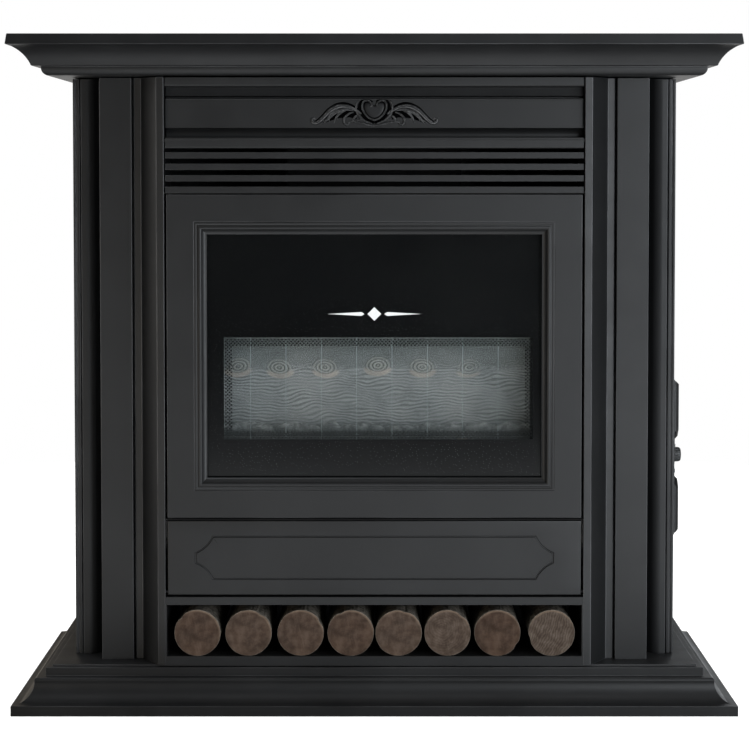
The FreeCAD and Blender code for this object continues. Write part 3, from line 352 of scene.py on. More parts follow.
def dress(finish, *names):
    """Give frame nodes a finish."""
    for name in names:
        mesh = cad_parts[name].data
        mesh.materials.clear()
        mesh.materials.append(finish.material)


def whole_turn(count):
    """Angles of a whole turn in even steps."""
    return np.linspace(0, 2 * math.pi, count, endpoint=False)


def joined(*shapes):
    """Several shapes as one list of points and faces."""
    points = [np.reshape(some, (-1, 3)) for some, _ in shapes]
    starts = np.cumsum([0] + [len(some) for some in points]).tolist()
    faces = [[corner + start for corner in face] for start, (_, some) in zip(starts, shapes) for face in some]
    return np.concatenate(points), faces


def many(shape, places):
    """Copies of one small shape at several places."""
    points, faces = shape
    return joined(*((np.reshape(points, (-1, 3)) + place, faces) for place in np.array(places, float)))


def cross_screws(head, rise, directions, places):
    """Screw heads with a cross recess, at several places and facing one way.

    Their height falls from the middle as a circle arc, less a hollow along two crossed bars. Directions are
    where the head's right, its upper side and its crown point to.
    """
    ring = np.linspace(1.0, 0.02, 16)[:, None]
    x = head / 2 * ring * np.cos(whole_turn(48))
    y = head / 2 * ring * np.sin(whole_turn(48))
    dome = rise * np.sqrt(1 - 0.86 * ring ** 2)
    bar = np.minimum(np.abs(x), np.abs(y)) / (0.09 * head)
    reach = np.clip((0.34 * head - np.maximum(np.abs(x), np.abs(y))) / (0.06 * head), 0, 1)
    top = np.stack([x, y, dome - 0.55 * rise * reach / (1 + bar ** 6)], axis=-1)
    points = np.concatenate([top[:1] * (1, 1, 0), top])
    return many((points @ np.array(directions, float), tube_faces(17, 48)), places)


def bare_metal(name, colour, smooth, rough, stain):
    """Metal with a fine wandering grain, a cloudy stain and a roughness that changes from patch to patch."""
    metal = Finish(name, Metallic=1.0)
    drawn = metal.node("Mapping", Vector=metal.place, Scale=(60, 900, 900)).outputs[0]
    grain = metal.cloud(1.0, 2.0, drawn)
    metal.coat(Base_Color=metal.mix(metal.patches(40.0, 5.0, 0.35, 0.7), colour, stain),
               Roughness=metal.span(grain, 0.3, 0.7, smooth, rough))
    metal.bump((grain, 0.04, 0.0003))
    return metal


dress(casing_paint, "floor_plate", "left_side_panel", "right_side_panel", "rear_panel")
zinc_steel = bare_metal("zinc_plated_steel", zinc_bright, 0.28, 0.45, zinc_dull)
rear_places = [(x, rear_face, z) for x in (-rear_edge, rear_edge) for z in rear_edge_heights]
rear_places += [(x, rear_face, z) for x in rear_columns for z in rear_rows]
make_piece("rear_tap_screws", *cross_screws(rear_screw, rear_screw_rise, rearwards, rear_places), zinc_steel,
           "casing", "bare_steel")

# Header: a rolled steel fascia under the mantel with two flat rails, two hollows and a sunk frieze between.
# It spans the opening and is screwed to the pilasters from behind.
header_bottom = node_box("header_fascia")[0][2]
header_depth = 34.0
header_fold = 0.8
lower_rail = header_bottom + 14.0
hollow_bulge = 1.05
frieze_sunk = 8.0
frieze_low = header_bottom + 27.0
frieze_high = frieze_low + 39.0
frieze_lip = 2.6
frieze_lip_bulge = -0.36
frieze_gap_deep = frieze_sunk + 8.0
frieze_gap_top = frieze_high + 1.5
upper_hollow = (frieze_sunk + 2.0, frieze_high + 3.0)
rail_foot = frieze_high + 15.0
rail_foot_deep = frieze_sunk + 5.0
rail_round = 2.4
joint_width = 1.9
joint_depth = 12.0
top_joint = casing_top - 1.0
header_profile = profile_of(
    (header_depth, header_bottom),
    arc((rail_round, header_bottom), (0, header_bottom + rail_round), -quarter_bulge, 6),
    arc((0, lower_rail), (frieze_sunk, frieze_low), hollow_bulge, 30),
    arc((frieze_sunk, frieze_high - frieze_lip), (frieze_sunk, frieze_high), frieze_lip_bulge, 9),
    (frieze_gap_deep, frieze_high), (frieze_gap_deep, frieze_gap_top),
    upper_hollow, (rail_foot_deep, rail_foot),
    arc((rail_round, rail_foot), (0, rail_foot + rail_round), -quarter_bulge, 6),
    (0, top_joint), (joint_depth, top_joint), (joint_depth, casing_top), (header_depth, casing_top))


def rebated_bar(profile, deepest):
    """A profile of (depth, height) carried across the opening, set back at its ends to leave a dark joint.

    The joint is as wide as the last stretch at each end: there the depth grows by the joint's own, up to the
    deepest.
    """
    setback = joint_depth * np.array([1, 1, 0, 0, 1, 1])
    x = half_opening * np.array([-1, -1, -1, 1, 1, 1]) + joint_width * np.array([0, 1, 1, -1, -1, 0])
    y = face + np.minimum(profile[:, :1] + setback, deepest)
    return np.stack([np.broadcast_to(x, y.shape), y, np.broadcast_to(profile[:, 1:], y.shape)], axis=-1)


make_piece("header", rebated_bar(header_profile, header_depth), quads(len(header_profile), 6), casing_paint,
           "casing", "casing_paint", ["header_fascia"], wall=sheet, edge=header_fold, weld=True)

# Frieze ornament: a small traditional casting pinned to the sunk frieze and painted with it.
# A heart-shaped shield stands between two drooping leaf arms with curled ends, over a shallow swag.
# Each strand has its knots, its half widths at the start, at its fullest and at the end, and its height.
frieze_face = face + frieze_sunk
ornament_middle = (frieze_low + frieze_high) / 2
ornament_strands = [
    ([(17, -1), (24, 3.5), (34, 8), (46, 8.6), (58, 3), (68, -7), (75, -12.5), (80, -12.5), (82, -8.5),
      (79, -7), (77.5, -9)], (1.4, 3.6, 0.7), 3.6),
    ([(28, 3), (40, 4.5), (51, 0), (60, -8), (66, -13.5)], (0.8, 2.3, 0.5), 2.8),
    ([(36, 4), (44, 0.5), (50, -6), (53, -13.5)], (0.8, 2.2, 0.5), 2.7),
    ([(45, 6), (55, -0.5), (62, -8), (71, -14.5)], (0.8, 2.0, 0.5), 2.6),
    ([(27, 1), (33, -1), (38.5, -6), (39.5, -12), (36, -15.5), (32.5, -13.5), (34, -10.5)],
     (0.9, 1.9, 0.6), 3.0),
    ([(0.0, -17.2), (9, -15.5), (20, -12.8), (29, -11.5), (34, -13)], (1.3, 1.5, 0.7), 2.2),
    ([(20, -2), (25, -5), (28, -9), (26.5, -12)], (0.8, 1.7, 0.5), 2.4),
    ([(0.0, -9.5), (7, -6.5), (13, 0), (16, 8), (14, 14.8), (8.5, 16.2), (4, 13), (3.2, 9.5), (5.5, 8),
      (6.8, 9.9)], (1.2, 1.5, 0.7), 4.4),
    ([(40, 6.5), (46, 2), (48.5, -4), (48, -9)], (0.7, 1.6, 0.4), 2.4),
    ([(52, 5), (57.5, -1), (59.5, -7), (58.5, -12)], (0.7, 1.6, 0.4), 2.4),
    ([(62, -2), (66, -7), (67, -12)], (0.6, 1.3, 0.4), 2.2),
    ([(3, -14), (13, -10), (21, -2.5), (24, 7), (22, 14), (17.5, 18)], (0.8, 1.7, 0.5), 2.9),
    ([(9, -11), (16, -9), (21, -9.5), (24, -12.5)], (0.6, 1.3, 0.4), 2.2),
]
# Low strands painted near black as shadow: under each wing, along the upper edge of each arm and round the
# shield.
ornament_shadow_strands = [
    ([(22, -5), (32, -0.5), (44, -0.5), (56, -5), (66, -10), (74, -12.5)], (4.0, 6.5, 1.5), 1.0),
    ([(17, 0.5), (24, 5.4), (34, 10), (46, 10.6), (58, 5), (68, -5), (76, -11.5), (82, -12.5)],
     (1.6, 3.4, 1.6), 1.3),
    ([(0.0, -12), (8, -9), (15, -1), (18.5, 7), (16, 14), (9, 15.8), (3, 13)], (2.6, 3.4, 2.6), 1.2),
]
strand_around = 16
strand_steps = 14
shield_knots = [(0, -8.5), (7, -5.8), (12.5, 0.3), (15.2, 7.8), (13.5, 13.8), (8.5, 15.2), (3.6, 12.4),
                (0, 9.8)]
shield_rings = 12
shield_middle = 3.0
shield_crown = 1.6
shield_foot = 0.6
# Near black for the foot of every strand and for the shadow strands: painted shade.
casting_painted_shade = (0.0006, 0.0006, 0.0007, 1)


def smooth_line(knots, count):
    """Points on a smooth line through knots: on each stretch a cubic, level at its ends with those around."""
    knots = np.array(knots, float)
    ends = np.vstack([2 * knots[:1] - knots[1:2], knots, 2 * knots[-1:] - knots[-2:-1]])
    along = np.linspace(0, len(knots) - 1, count)
    stretch = np.minimum(along.astype(int), len(knots) - 2)
    t = (along - stretch)[:, None]
    a, b, c, d = (ends[stretch + step] for step in range(4))
    return b + 0.5 * (t * (c - a) + t ** 2 * (2 * a - 5 * b + 4 * c - d) + t ** 3 * (3 * b - a - 3 * c + d))


def leaf_strand(knots, widths, height, hand):
    """Half-round strand along a smooth line on the frieze: its width swells from the ends to the middle.

    Round the strand, the side stands out by the width's cosine and the front by the height's sine, with a
    shallow vein that runs along the crest.
    """
    line = smooth_line(knots, strand_steps * len(knots))
    ahead = np.gradient(line, axis=0)
    ahead /= np.linalg.norm(ahead, axis=1)[:, None]
    width = np.interp(np.linspace(0, 1, len(line)), [0, 0.35, 1], widths)[:, None]
    turn = whole_turn(strand_around)
    vein = 1 - 0.22 * np.exp(-((turn - math.pi / 2) / 0.35) ** 2)
    out = (height * width / max(widths)) * np.sin(turn) * vein
    side = width * np.cos(turn)
    x = hand * (line[:, :1] - side * ahead[:, 1:])
    z = ornament_middle + line[:, 1:] + side * ahead[:, :1]
    return np.stack([x, frieze_face - out, z], axis=-1), tube_faces(len(line), strand_around)


def keep_values(piece, **values):
    """Store arrays on a piece's points for its finish to read."""
    for name, value in values.items():
        array = np.asarray(value, np.float32)
        is_vector = array.ndim > 1 and array.shape[-1] == 3
        layer = piece.data.attributes.new(name, "FLOAT_VECTOR" if is_vector else "FLOAT", "POINT")
        layer.data.foreach_set("vector" if is_vector else "value", array.ravel())


strand_turn = whole_turn(strand_around)
strand_vein = 1 - 0.45 * np.exp(-((strand_turn - math.pi / 2) / 0.3) ** 2)
strand_crest = np.maximum(np.clip(np.sin(strand_turn), 0, 1) * strand_vein, 0.1)
ornament_shapes = []
crests = []
for strand in ornament_shadow_strands + ornament_strands:
    crest_rows = np.tile(strand_crest * (strand in ornament_strands), strand_steps * len(strand[0]))
    ornament_shapes += [leaf_strand(*strand, hand) for hand in (-1, 1)]
    crests += [crest_rows, crest_rows]
shield_side = smooth_line(shield_knots, 60)
shield_rim = np.concatenate([shield_side, shield_side[-2:0:-1] * (-1, 1)])
shield_ring = np.linspace(1.0, 0.03, shield_rings)[:, None]
shield_x = shield_ring * shield_rim[:, 0]
shield_z = ornament_middle + shield_middle + shield_ring * (shield_rim[:, 1] - shield_middle)
shield_rise = (shield_crown + shield_foot) * (1 - shield_ring ** 8) * np.ones_like(shield_x)
shield = np.stack([shield_x, frieze_face + shield_foot - shield_rise, shield_z], axis=-1)
ornament_shapes += [(shield, tube_faces(shield_rings, len(shield_rim)))]
crests += [np.repeat(0.5 * (1 - shield_ring ** 5), len(shield_rim))]
# The finish reads the crest. It gives painted shade, near black, at a strand's foot, on the shield's rim and
# on the shadow strands. It gives a painted highlight, bright grey speckles, on the highest crests.
casting_paint = Finish("painted_casting", IOR=1.48)
crest = casting_paint.stored("crest")
shaded_casting_tone = casting_paint.mix(casting_paint.span(crest, 0.05, 0.5), casting_painted_shade, paint_pale)
crest_highlight_grey = casting_paint.patches(380.0, 3.0, 0.38, 0.64, 0.030, 0.230)
casting_paint.coat(
    Base_Color=casting_paint.mix(casting_paint.span(crest, 0.70, 0.95, 0.0, 0.9), shaded_casting_tone, crest_highlight_grey),
    Roughness=casting_paint.span(crest, 0.0, 0.4, 0.9, 0.42),
    Specular_IOR_Level=casting_paint.span(crest, 0.1, 0.6, 0.02, 0.5))
ornament = make_piece("scroll_ornament", *joined(*ornament_shapes), casting_paint, "casing", "casing_paint",
                      ["frieze_ornament"])
keep_values(ornament, crest=np.concatenate(crests))

# Louvre: four folded slats across the opening above the door, each a lip in front and a flange behind.
# Warm air leaves between them.
slat_count = 4
slat_pitch = 15.0
slat_lip = 8.0
slat_flange = 14.0
slat_fold = 0.65
slat_drop = 1.5
slat_top = node_box("louvre_slats")[1][2] - slat_drop
slat_section = profile_of((0, -slat_lip), (sheet, -slat_lip), (sheet, -sheet), (slat_flange, -sheet),
                          (slat_flange, 0), (0, 0))
slat_ends = np.arange(36).reshape(6, 6)[:, [0, 5]].T.tolist()
slat = (rebated_bar(slat_section, slat_flange), quads(6, 6, round_rows=True) + slat_ends)
slat_places = [(0, 0, slat_top - number * slat_pitch) for number in range(slat_count)]
make_piece("slats", *many(slat, slat_places), casing_paint, "casing", "casing_paint", ["louvre_slats"],
           edge=slat_fold, weld=True)

# Log store: a folded tray under the flap, black inside, with two bright screws in its back.
# Eight short sawn logs lie in it with their ends just proud of the opening. Each has the place of its pith,
# a tone from brown to weathered, and the angle of a chip in its rim.
log_radius = 31.2
log_piths = [(0.20, -0.35), (-0.15, 0.30), (0.35, 0.10), (-0.30, -0.15), (0.10, -0.40), (-0.25, 0.20),
             (0.15, 0.05), (-3.6, 1.3)]
log_tones = [0.30, 0.42, 0.38, 0.30, 0.48, 0.72, 0.22, 1.0]
log_chips = [2.4, 1.0, 0.5, 2.0, 1.3, 0.9, 5.7, 3.4]
log_around = 160
log_end_rings = 12
log_side_rings = 34
chip_depth = 1.6
tray_screw = 9.0
tray_screw_rise = 3.0
forwards = [(1, 0, 0), (0, 0, 1), (0, -1, 0)]
wood_brown = [(0.018, 0.0095, 0.0060, 1), (0.052, 0.0310, 0.0205, 1)]
wood_weathered = [(0.046, 0.034, 0.026, 1), (0.084, 0.066, 0.053, 1)]
wood_ring = (0.016, 0.010, 0.007, 1)
wood_crack = (0.020, 0.013, 0.010, 1)
wood_sap = (0.120, 0.088, 0.064, 1)
wood_bark = [(0.060, 0.054, 0.046, 1), (0.170, 0.150, 0.125, 1)]
chrome_tones = [(0.60, 0.61, 0.62, 1), (0.80, 0.81, 0.82, 1)]


def sawn_log(number):
    """A log as radius and length against the angle: sawn end, worn rim, barked side and a second sawn end.

    The radius is the log's own less a few slow waves of the angle, a chip taken out at one place and, on the
    side, long shallow ridges of bark; the sawn end is left rough by the saw. With it come the values that its
    finish reads: the place in the grain, the tone, and where end wood and sapwood are.
    """
    low, high = node_box("log_%d" % (number + 1))
    middle = (low + high) / 2
    length = high[1] - low[1]
    dice = np.random.default_rng(40 + number)
    angle = whole_turn(log_around)
    share = np.concatenate([np.linspace(0.02, 0.93, log_end_rings), [0.965, 0.985], np.ones(log_side_rings),
                            [0.985, 0.965, 0.9, 0.5, 0.02]])[:, None]
    along = np.concatenate([np.zeros(log_end_rings), [0.25, 0.9],
                            np.linspace(2.0, length - 2, log_side_rings),
                            [length - 0.9, length - 0.25], np.full(3, length)])[:, None]
    waves = np.arange(2, 7)[:, None]
    strength = dice.normal(size=waves.shape) / waves ** 1.4
    slow = (strength * np.cos(waves * angle + dice.uniform(0, 6.3, waves.shape))).sum(axis=0)
    slow = (slow.max() - slow) / np.ptp(slow)
    nearness = np.exp(-(np.angle(np.exp(1j * (angle - log_chips[number]))) / 0.16) ** 2)
    rim = log_radius * (1 - 0.014 * slow) - chip_depth * nearness
    ridges = np.arange(24, 60, 3)[:, None, None]
    drift = dice.uniform(-1.2, 1.2, ridges.shape)
    start = dice.uniform(0, 6.3, ridges.shape)
    bark = np.cos(ridges * angle + start + 6 * drift * (along / length)).mean(axis=0)
    radius = share * rim - np.where(share > 0.999, 0.35 + 1.1 * (0.5 + bark), 0)
    x = radius * np.cos(angle)
    z = radius * np.sin(angle)
    saw = 0.22 * np.sin(0.55 * x + 0.9 * np.sin(0.11 * z) + number) + 0.15 * np.sin(1.7 * x + 0.4 * z)
    y = np.where(share < 0.95, along + np.where(along < 1, 0.4 + saw, -0.4 - saw), along)
    points = np.stack([middle[0] + x, low[1] + y, middle[2] + z], axis=-1)
    pith_x, pith_z = log_piths[number]
    grain_y = np.broadcast_to(along / 100, x.shape)
    grain = np.stack([x / log_radius - pith_x, grain_y, z / log_radius - pith_z], axis=-1)
    sapwood = np.clip((share - 0.86) / 0.09, 0, 1) * np.clip(0.1 + np.cos(angle - 0.9 - 0.1 * number), 0, 1)
    values = dict(grain=grain, tone=np.full(x.shape, log_tones[number]),
                  end_wood=np.broadcast_to(share < 0.97, x.shape), sapwood=sapwood)
    return points, tube_faces(len(share), log_around), values


log_wood = Finish("sawn_log_wood", IOR=1.45, Specular_IOR_Level=0.07)
grain = log_wood.stored("grain", "Vector")
tone = log_wood.stored("tone")
from_pith = log_wood.node("VectorMath", {"operation": "LENGTH"}, Vector=grain).outputs["Value"]
ring_place = log_wood.maths("MULTIPLY_ADD", log_wood.cloud(2.2, 3.0, grain), 0.30, from_pith)
ring_wave = log_wood.maths("SINE", log_wood.maths("MULTIPLY", ring_place, 58.0))
rings = log_wood.span(ring_wave, -0.9, 1.0)
ring_share = log_wood.maths("MULTIPLY", rings, log_wood.maths("MULTIPLY_ADD", tone, 0.75, -0.35))
cracks = log_wood.span(log_wood.cloud(9.0, 5.0, grain, 0.6, 1.2), 0.62, 0.72, 0.0, 0.5)
brown = log_wood.mix(log_wood.span(log_wood.cloud(1.6, 5.0, grain), 0.32, 0.70), *wood_brown)
weathered = log_wood.mix(log_wood.span(log_wood.cloud(3.2, 4.0, grain), 0.35, 0.7), *wood_weathered)
wood = log_wood.mix(tone, brown, weathered)
wood = log_wood.mix(ring_share, wood, wood_ring)
wood = log_wood.mix(cracks, wood, wood_crack)
wood = log_wood.mix(log_wood.span(log_wood.stored("sapwood"), 0.2, 0.9, 0.0, 0.6), wood, wood_sap)
bark = log_wood.mix(log_wood.patches(160.0, 6.0, 0.35, 0.65), *wood_bark)
log_wood.coat(Base_Color=log_wood.mix(log_wood.stored("end_wood"), bark, wood),
              Roughness=log_wood.span(rings, 0, 1, 0.62, 0.80))
log_wood.bump((rings, 0.06, 0.0003), (log_wood.cloud(900.0, 4.0), 0.35, 0.0006))
for number in range(len(log_piths)):
    log_points, log_faces, log_values = sawn_log(number)
    log = make_piece("sawn_log_%d" % (number + 1), log_points, log_faces, log_wood, "casing", "log_wood",
                     ["log_%d" % (number + 1)], sharp=60)
    keep_values(log, **log_values)
dress(casing_paint, "log_tray")
bright_chrome = Finish("bright_chrome", Metallic=1.0)
bright_chrome.coat(Base_Color=bright_chrome.mix(bright_chrome.cloud(300.0), *chrome_tones),
                   Roughness=bright_chrome.patches(900.0, 3.0, 0.3, 0.7, 0.08, 0.20))
tray_low, tray_high = node_box("tray_screws")
tray_places = [(x, tray_high[1], (tray_low[2] + tray_high[2]) / 2)
               for x in (tray_low[0] + tray_screw / 2, tray_high[0] - tray_screw / 2)]
make_piece("tray_cross_screws", *cross_screws(tray_screw, tray_screw_rise, forwards, tray_places),
           bright_chrome, "casing", "bright_chrome", ["tray_screws"])

# Firebox: a sheet chamber on two legs with a draft hood, a window plate and a shelf, all hidden in use.
# Chamber and shelf are burnt pale, and the rest is stove black. Burner, pilot and probes stand on the floor
# of the chamber; brass and steel fittings lead the gas to them.
stove_black = satin_paint("matt_stove_black", (0.0030, 0.0030, 0.0031, 1), (0.0060, 0.0059, 0.0057, 1), 0.62,
                          0.80, gloss=0.12)
dark_steel = bare_metal("oiled_dark_steel", (0.030, 0.030, 0.031, 1), 0.40, 0.55, (0.018, 0.017, 0.016, 1))
gas_brass = bare_metal("gas_brass", (0.62, 0.45, 0.20, 1), 0.22, 0.40, (0.42, 0.28, 0.12, 1))
burnt_lining = satin_paint("burnt_pale_lining", (0.16, 0.16, 0.155, 1), (0.26, 0.26, 0.25, 1), 0.70, 0.85,
                           gloss=0.1)
dress(burnt_lining, "combustion_chamber", "fire_shelf")
dress(stove_black, "chamber_legs", "window_frame", "strip_rails", "draft_hood", "burner_tube",
      "burner_brackets", "valve_bracket", "door_magnet", "piezo_igniter", "door_lintel", "door_sill")
dress(zinc_steel, "thermocouple", "spark_electrode", "valve_spindle")
dress(gas_brass, "injector", "burner_feed_pipe", "pilot_burner", "gas_valve", "inlet_pipe")

# Heat glass: nine upright strips side by side in two rails before the fire, so that each may grow by itself.
# They are hazy from use, with ground edges that show as pale lines.
strip_count = 9
strip_joint = 0.3
strip_chamfer = 1.1
strip_haze = [(0.20, 0.235, 0.235, 1), (0.27, 0.30, 0.295, 1)]
strip_edge = (0.50, 0.58, 0.58, 1)
(strip_left, strip_front, strip_low), (strip_right, strip_back, strip_high) = node_box("glass_strips")
strip_pitch = (strip_right - strip_left + strip_joint) / strip_count
strip_end = strip_left + strip_pitch - strip_joint
strip_section = [(strip_left, strip_back - strip_chamfer), (strip_left, strip_front + strip_chamfer),
                 (strip_left + strip_chamfer, strip_front), (strip_end - strip_chamfer, strip_front),
                 (strip_end, strip_front + strip_chamfer), (strip_end, strip_back - strip_chamfer),
                 (strip_end - strip_chamfer, strip_back), (strip_left + strip_chamfer, strip_back)]
strip_ground = [1.0, 1.0, 0.0, 0.0, 1.0, 1.0, 0.0, 0.0]
strip_places = [(number * strip_pitch, 0, 0) for number in range(strip_count)]
heat_glass = Finish("heat_glass_strips", IOR=1.5)
ground = heat_glass.stored("ground")
drawn = heat_glass.node("Mapping", Vector=heat_glass.place, Scale=(1.0, 1.0, 0.4)).outputs[0]
haze = heat_glass.mix(heat_glass.span(heat_glass.cloud(14.0, 4.0, drawn), 0.3, 0.8), *strip_haze)
heat_glass.coat(Base_Color=heat_glass.mix(ground, haze, strip_edge),
                Alpha=heat_glass.span(ground, 0.0, 1.0, 0.26, 0.46),
                Roughness=heat_glass.patches(40.0, 3.0, 0.3, 0.8, 0.10, 0.22))
strip = straight_bar(strip_section, 2, strip_low, strip_high)
strips = make_piece("heat_glass_strips", *many(strip, strip_places), heat_glass, "casing", "heat_glass",
                    ["glass_strips"], sharp=20)
keep_values(strips, ground=np.tile(strip_ground, 2 * strip_count))

# Ceramic fire log: one moulding of pale fire clay made to look like split wood, with a row of branch ends.
# Wavy grain runs along it and parts round the branch ends; a bed of moulded embers lies on the shelf.
(_, knot_front, shelf_top), (half_fire, fire_back, fire_top) = node_box("ceramic_log")
fire_front = knot_front + 5.0
fire_depth = fire_back - fire_front
fire_crown = 23.0
knot_xs = np.array([-185.0, -129.0, -67.0, 5.0, 65.0, 129.0, 188.0])
knot_clear = np.array([1.0, 1.0, 0.9, 1.0, 0.9, 0.5, 0.2])
knot_z = fire_top - fire_crown
knot_half_width = 16.0
knot_half_height = 11.0
grain_pitch = 4.6
knot_rise = 3.2
fire_columns = 620
fire_face_rows = 78
clay_tones = [(0.25, 0.255, 0.255, 1), (0.68, 0.69, 0.69, 1)]
branch_tones = [(0.14, 0.135, 0.115, 1), (0.70, 0.68, 0.60, 1)]
clay_glow = (0.98, 0.80, 0.68, 1)
clay_soot = (0.10, 0.10, 0.10, 1)
clay_foot_shade = (0.02, 0.02, 0.02, 1)
ember_count = 46
ember_columns = 420
ember_rows = 34
ember_half_row = 210.0
ember_inset = 7.0
ember_ground = 4.5
ember_tallest = 22.5
ash_tones = [(0.20, 0.20, 0.20, 1), (0.80, 0.82, 0.79, 1)]
ember_gap_shade = (0.012, 0.012, 0.012, 1)


def split_wood(x, z):
    """Relief of the moulded wood at a place on its face: grain, rings, a mask of the branch ends and a glow.

    Grain is a wave of the height, bent away above and below each branch end, shaken by slow waves along the
    log and fading out above them. A branch end is a low dome with rings at even steps from its middle; the
    clay is paler in a crescent under it.
    """
    across = (x[..., None] - knot_xs) / knot_half_width
    above = (z[..., None] - knot_z - 2 * np.cos(5 * knot_xs)) / knot_half_height
    far = np.sqrt(across ** 2 + above ** 2 + 0.25 * across * above * np.sin(7 * knot_xs))
    bend = (6.0 * np.sign(above) * np.exp(-across ** 2 / 1.8) * np.exp(-np.abs(above) / 2.2)).sum(axis=-1)
    shake = 2.4 * np.sin(x / 23 + 0.05 * z) + 1.5 * np.sin(x / 9.5 + 0.11 * z + 1)
    shake += 0.9 * np.sin(x / 4.7 - 0.2 * z)
    wave = (z - bend + 0.8 * shake) / grain_pitch + 0.35 * np.sin(x / 31) + 0.3 * np.sin(x / 12.7 + z / 8)
    grain = 0.5 + 0.5 * np.sin(2 * math.pi * wave) * (0.65 + 0.35 * np.sin(x / 29 + 2.3 * np.sin(z / 7.3)))
    grain = grain * np.clip((knot_z + 8 - z) / 14, 0.12, 1)
    mask = knot_clear / (1 + np.exp((far - 1.0) / 0.10))
    rings = 0.5 + 0.5 * np.cos(2 * math.pi * far.min(axis=-1) * 3.2)
    glow = knot_clear * np.exp(-((far - 1.05) / 0.30) ** 2) * np.clip(-1.3 * above - 0.1, 0, 1)
    return dict(grain=grain, rings=rings, knot=mask.max(axis=-1), glow=glow.max(axis=-1))


fire_face = np.stack([np.zeros(fire_face_rows), np.linspace(shelf_top, knot_z, fire_face_rows)], axis=1)
fire_section = profile_of(fire_face,
                          arc((0, knot_z), (fire_crown, fire_top), -quarter_bulge, 26),
                          arc((fire_crown, fire_top), (fire_depth, knot_z), -quarter_bulge, 8),
                          (fire_depth, shelf_top))
fire_deep, fire_z = fire_section.T
spread_x, spread_z = np.meshgrid(np.linspace(-half_fire, half_fire, fire_columns), fire_z, indexing="ij")
fire_values = split_wood(spread_x, spread_z)
on_front = np.clip((fire_crown - fire_deep) / fire_crown, 0, 1) ** 0.5
lumps = np.sin(spread_x / 41 + 1.7) * np.sin(spread_z / 19) + 0.6 * np.sin(spread_x / 17 - spread_z / 11)
relief = (fire_values["grain"] * (1 - fire_values["knot"])
          + fire_values["knot"] * (knot_rise + 1.1 * fire_values["rings"]) + 0.5 * lumps)
fire_x = spread_x * (1 - 0.012 * np.clip((fire_z - knot_z) / fire_crown, 0, 1))
fire_points = np.stack([fire_x, fire_front + fire_deep + on_front * (1.0 - relief), spread_z], axis=-1)
fire_clay = Finish("moulded_fire_clay", Roughness=0.92, Specular_IOR_Level=0.2)
clay = fire_clay.mix(fire_clay.span(fire_clay.stored("grain"), 0.1, 0.85), *clay_tones)
branch = fire_clay.mix(fire_clay.span(fire_clay.stored("rings"), 0.1, 0.8), *branch_tones)
clay = fire_clay.mix(fire_clay.stored("knot"), clay, branch)
clay = fire_clay.mix(fire_clay.span(fire_clay.stored("glow"), 0.1, 0.7, 0.0, 0.85), clay, clay_glow)
clay = fire_clay.mix(fire_clay.patches(28.0, 5.0, 0.4, 0.75, 0.0, 0.40), clay, clay_soot)
# Painted shade: the clay turns near black at the foot of the moulding, down among the embers on the shelf.
clay = fire_clay.mix(fire_clay.span(fire_clay.height(), 0.356, 0.370, 1.0, 0.0), clay, clay_foot_shade)
fire_clay.coat(Base_Color=clay)
fire_clay.bump((fire_clay.cloud(700.0, 5.0), 0.4, 0.0008))
fire_log = make_piece("moulded_fire_log", fire_points, tube_faces(*spread_x.shape), fire_clay, "casing",
                      "fire_ceramic", ["ceramic_log"], sharp=70)
keep_values(fire_log, **fire_values)
(_, ember_low, _), (_, ember_high, _) = node_box("ember_bed")
ember_dice = np.random.default_rng(11)
ember_x = np.linspace(-ember_half_row, ember_half_row, ember_count) + ember_dice.uniform(-4, 4, ember_count)
ember_y = ember_dice.uniform(ember_low + ember_inset, ember_high - ember_inset, ember_count)
ember_size = ember_dice.uniform(7, 12, ember_count)
grid_x, grid_y = np.meshgrid(np.linspace(-half_fire, half_fire, ember_columns),
                             np.linspace(ember_low, ember_high, ember_rows), indexing="ij")
reach = 1 - ((grid_x[..., None] - ember_x) ** 2 / 1.7 + (grid_y[..., None] - ember_y) ** 2) / ember_size ** 2
rise = (np.sqrt(np.clip(reach, 0, None)) * ember_size * 1.15).max(axis=-1)
crumbs = 0.7 * np.sin(grid_x / 2.1 + np.sin(grid_y / 1.7)) * np.sin(grid_y / 1.9 + 0.3 * grid_x)
ember_top = shelf_top + np.clip(ember_ground + rise + crumbs, 1.0, ember_tallest)
ember_points = np.array([np.stack([grid_x, grid_y, level], axis=-1)
                         for level in (ember_top, np.full(grid_x.shape, shelf_top))])
ember_corner = np.arange(grid_x.size).reshape(grid_x.shape)
ember_rim = np.concatenate([ember_corner[0, :-1], ember_corner[:-1, -1], ember_corner[-1, :0:-1],
                            ember_corner[:0:-1, 0]])
ember_under = ember_rim + grid_x.size
ember_wall = np.stack([ember_rim, np.roll(ember_rim, -1), np.roll(ember_under, -1), ember_under], axis=1)
ember_faces = quads(*grid_x.shape) + ember_wall.tolist() + [ember_under.tolist()]
ember_clay = Finish("ember_clay", Roughness=0.95, Specular_IOR_Level=0.15)
ash = ember_clay.mix(ember_clay.patches(90.0, 5.0, 0.35, 0.68), *ash_tones)
# Painted shade: the low ground between the lumps is near black, and the raised lumps are pale ash.
ash_share = ember_clay.span(ember_clay.height(), 0.359, 0.372)
ember_clay.coat(Base_Color=ember_clay.mix(ash_share, ember_gap_shade, ash))
ember_clay.bump((ember_clay.cloud(500.0, 5.0), 0.5, 0.001))
make_piece("ember_lumps", ember_points, ember_faces, ember_clay, "casing", "fire_ceramic", ["ember_bed"],
           sharp=60)

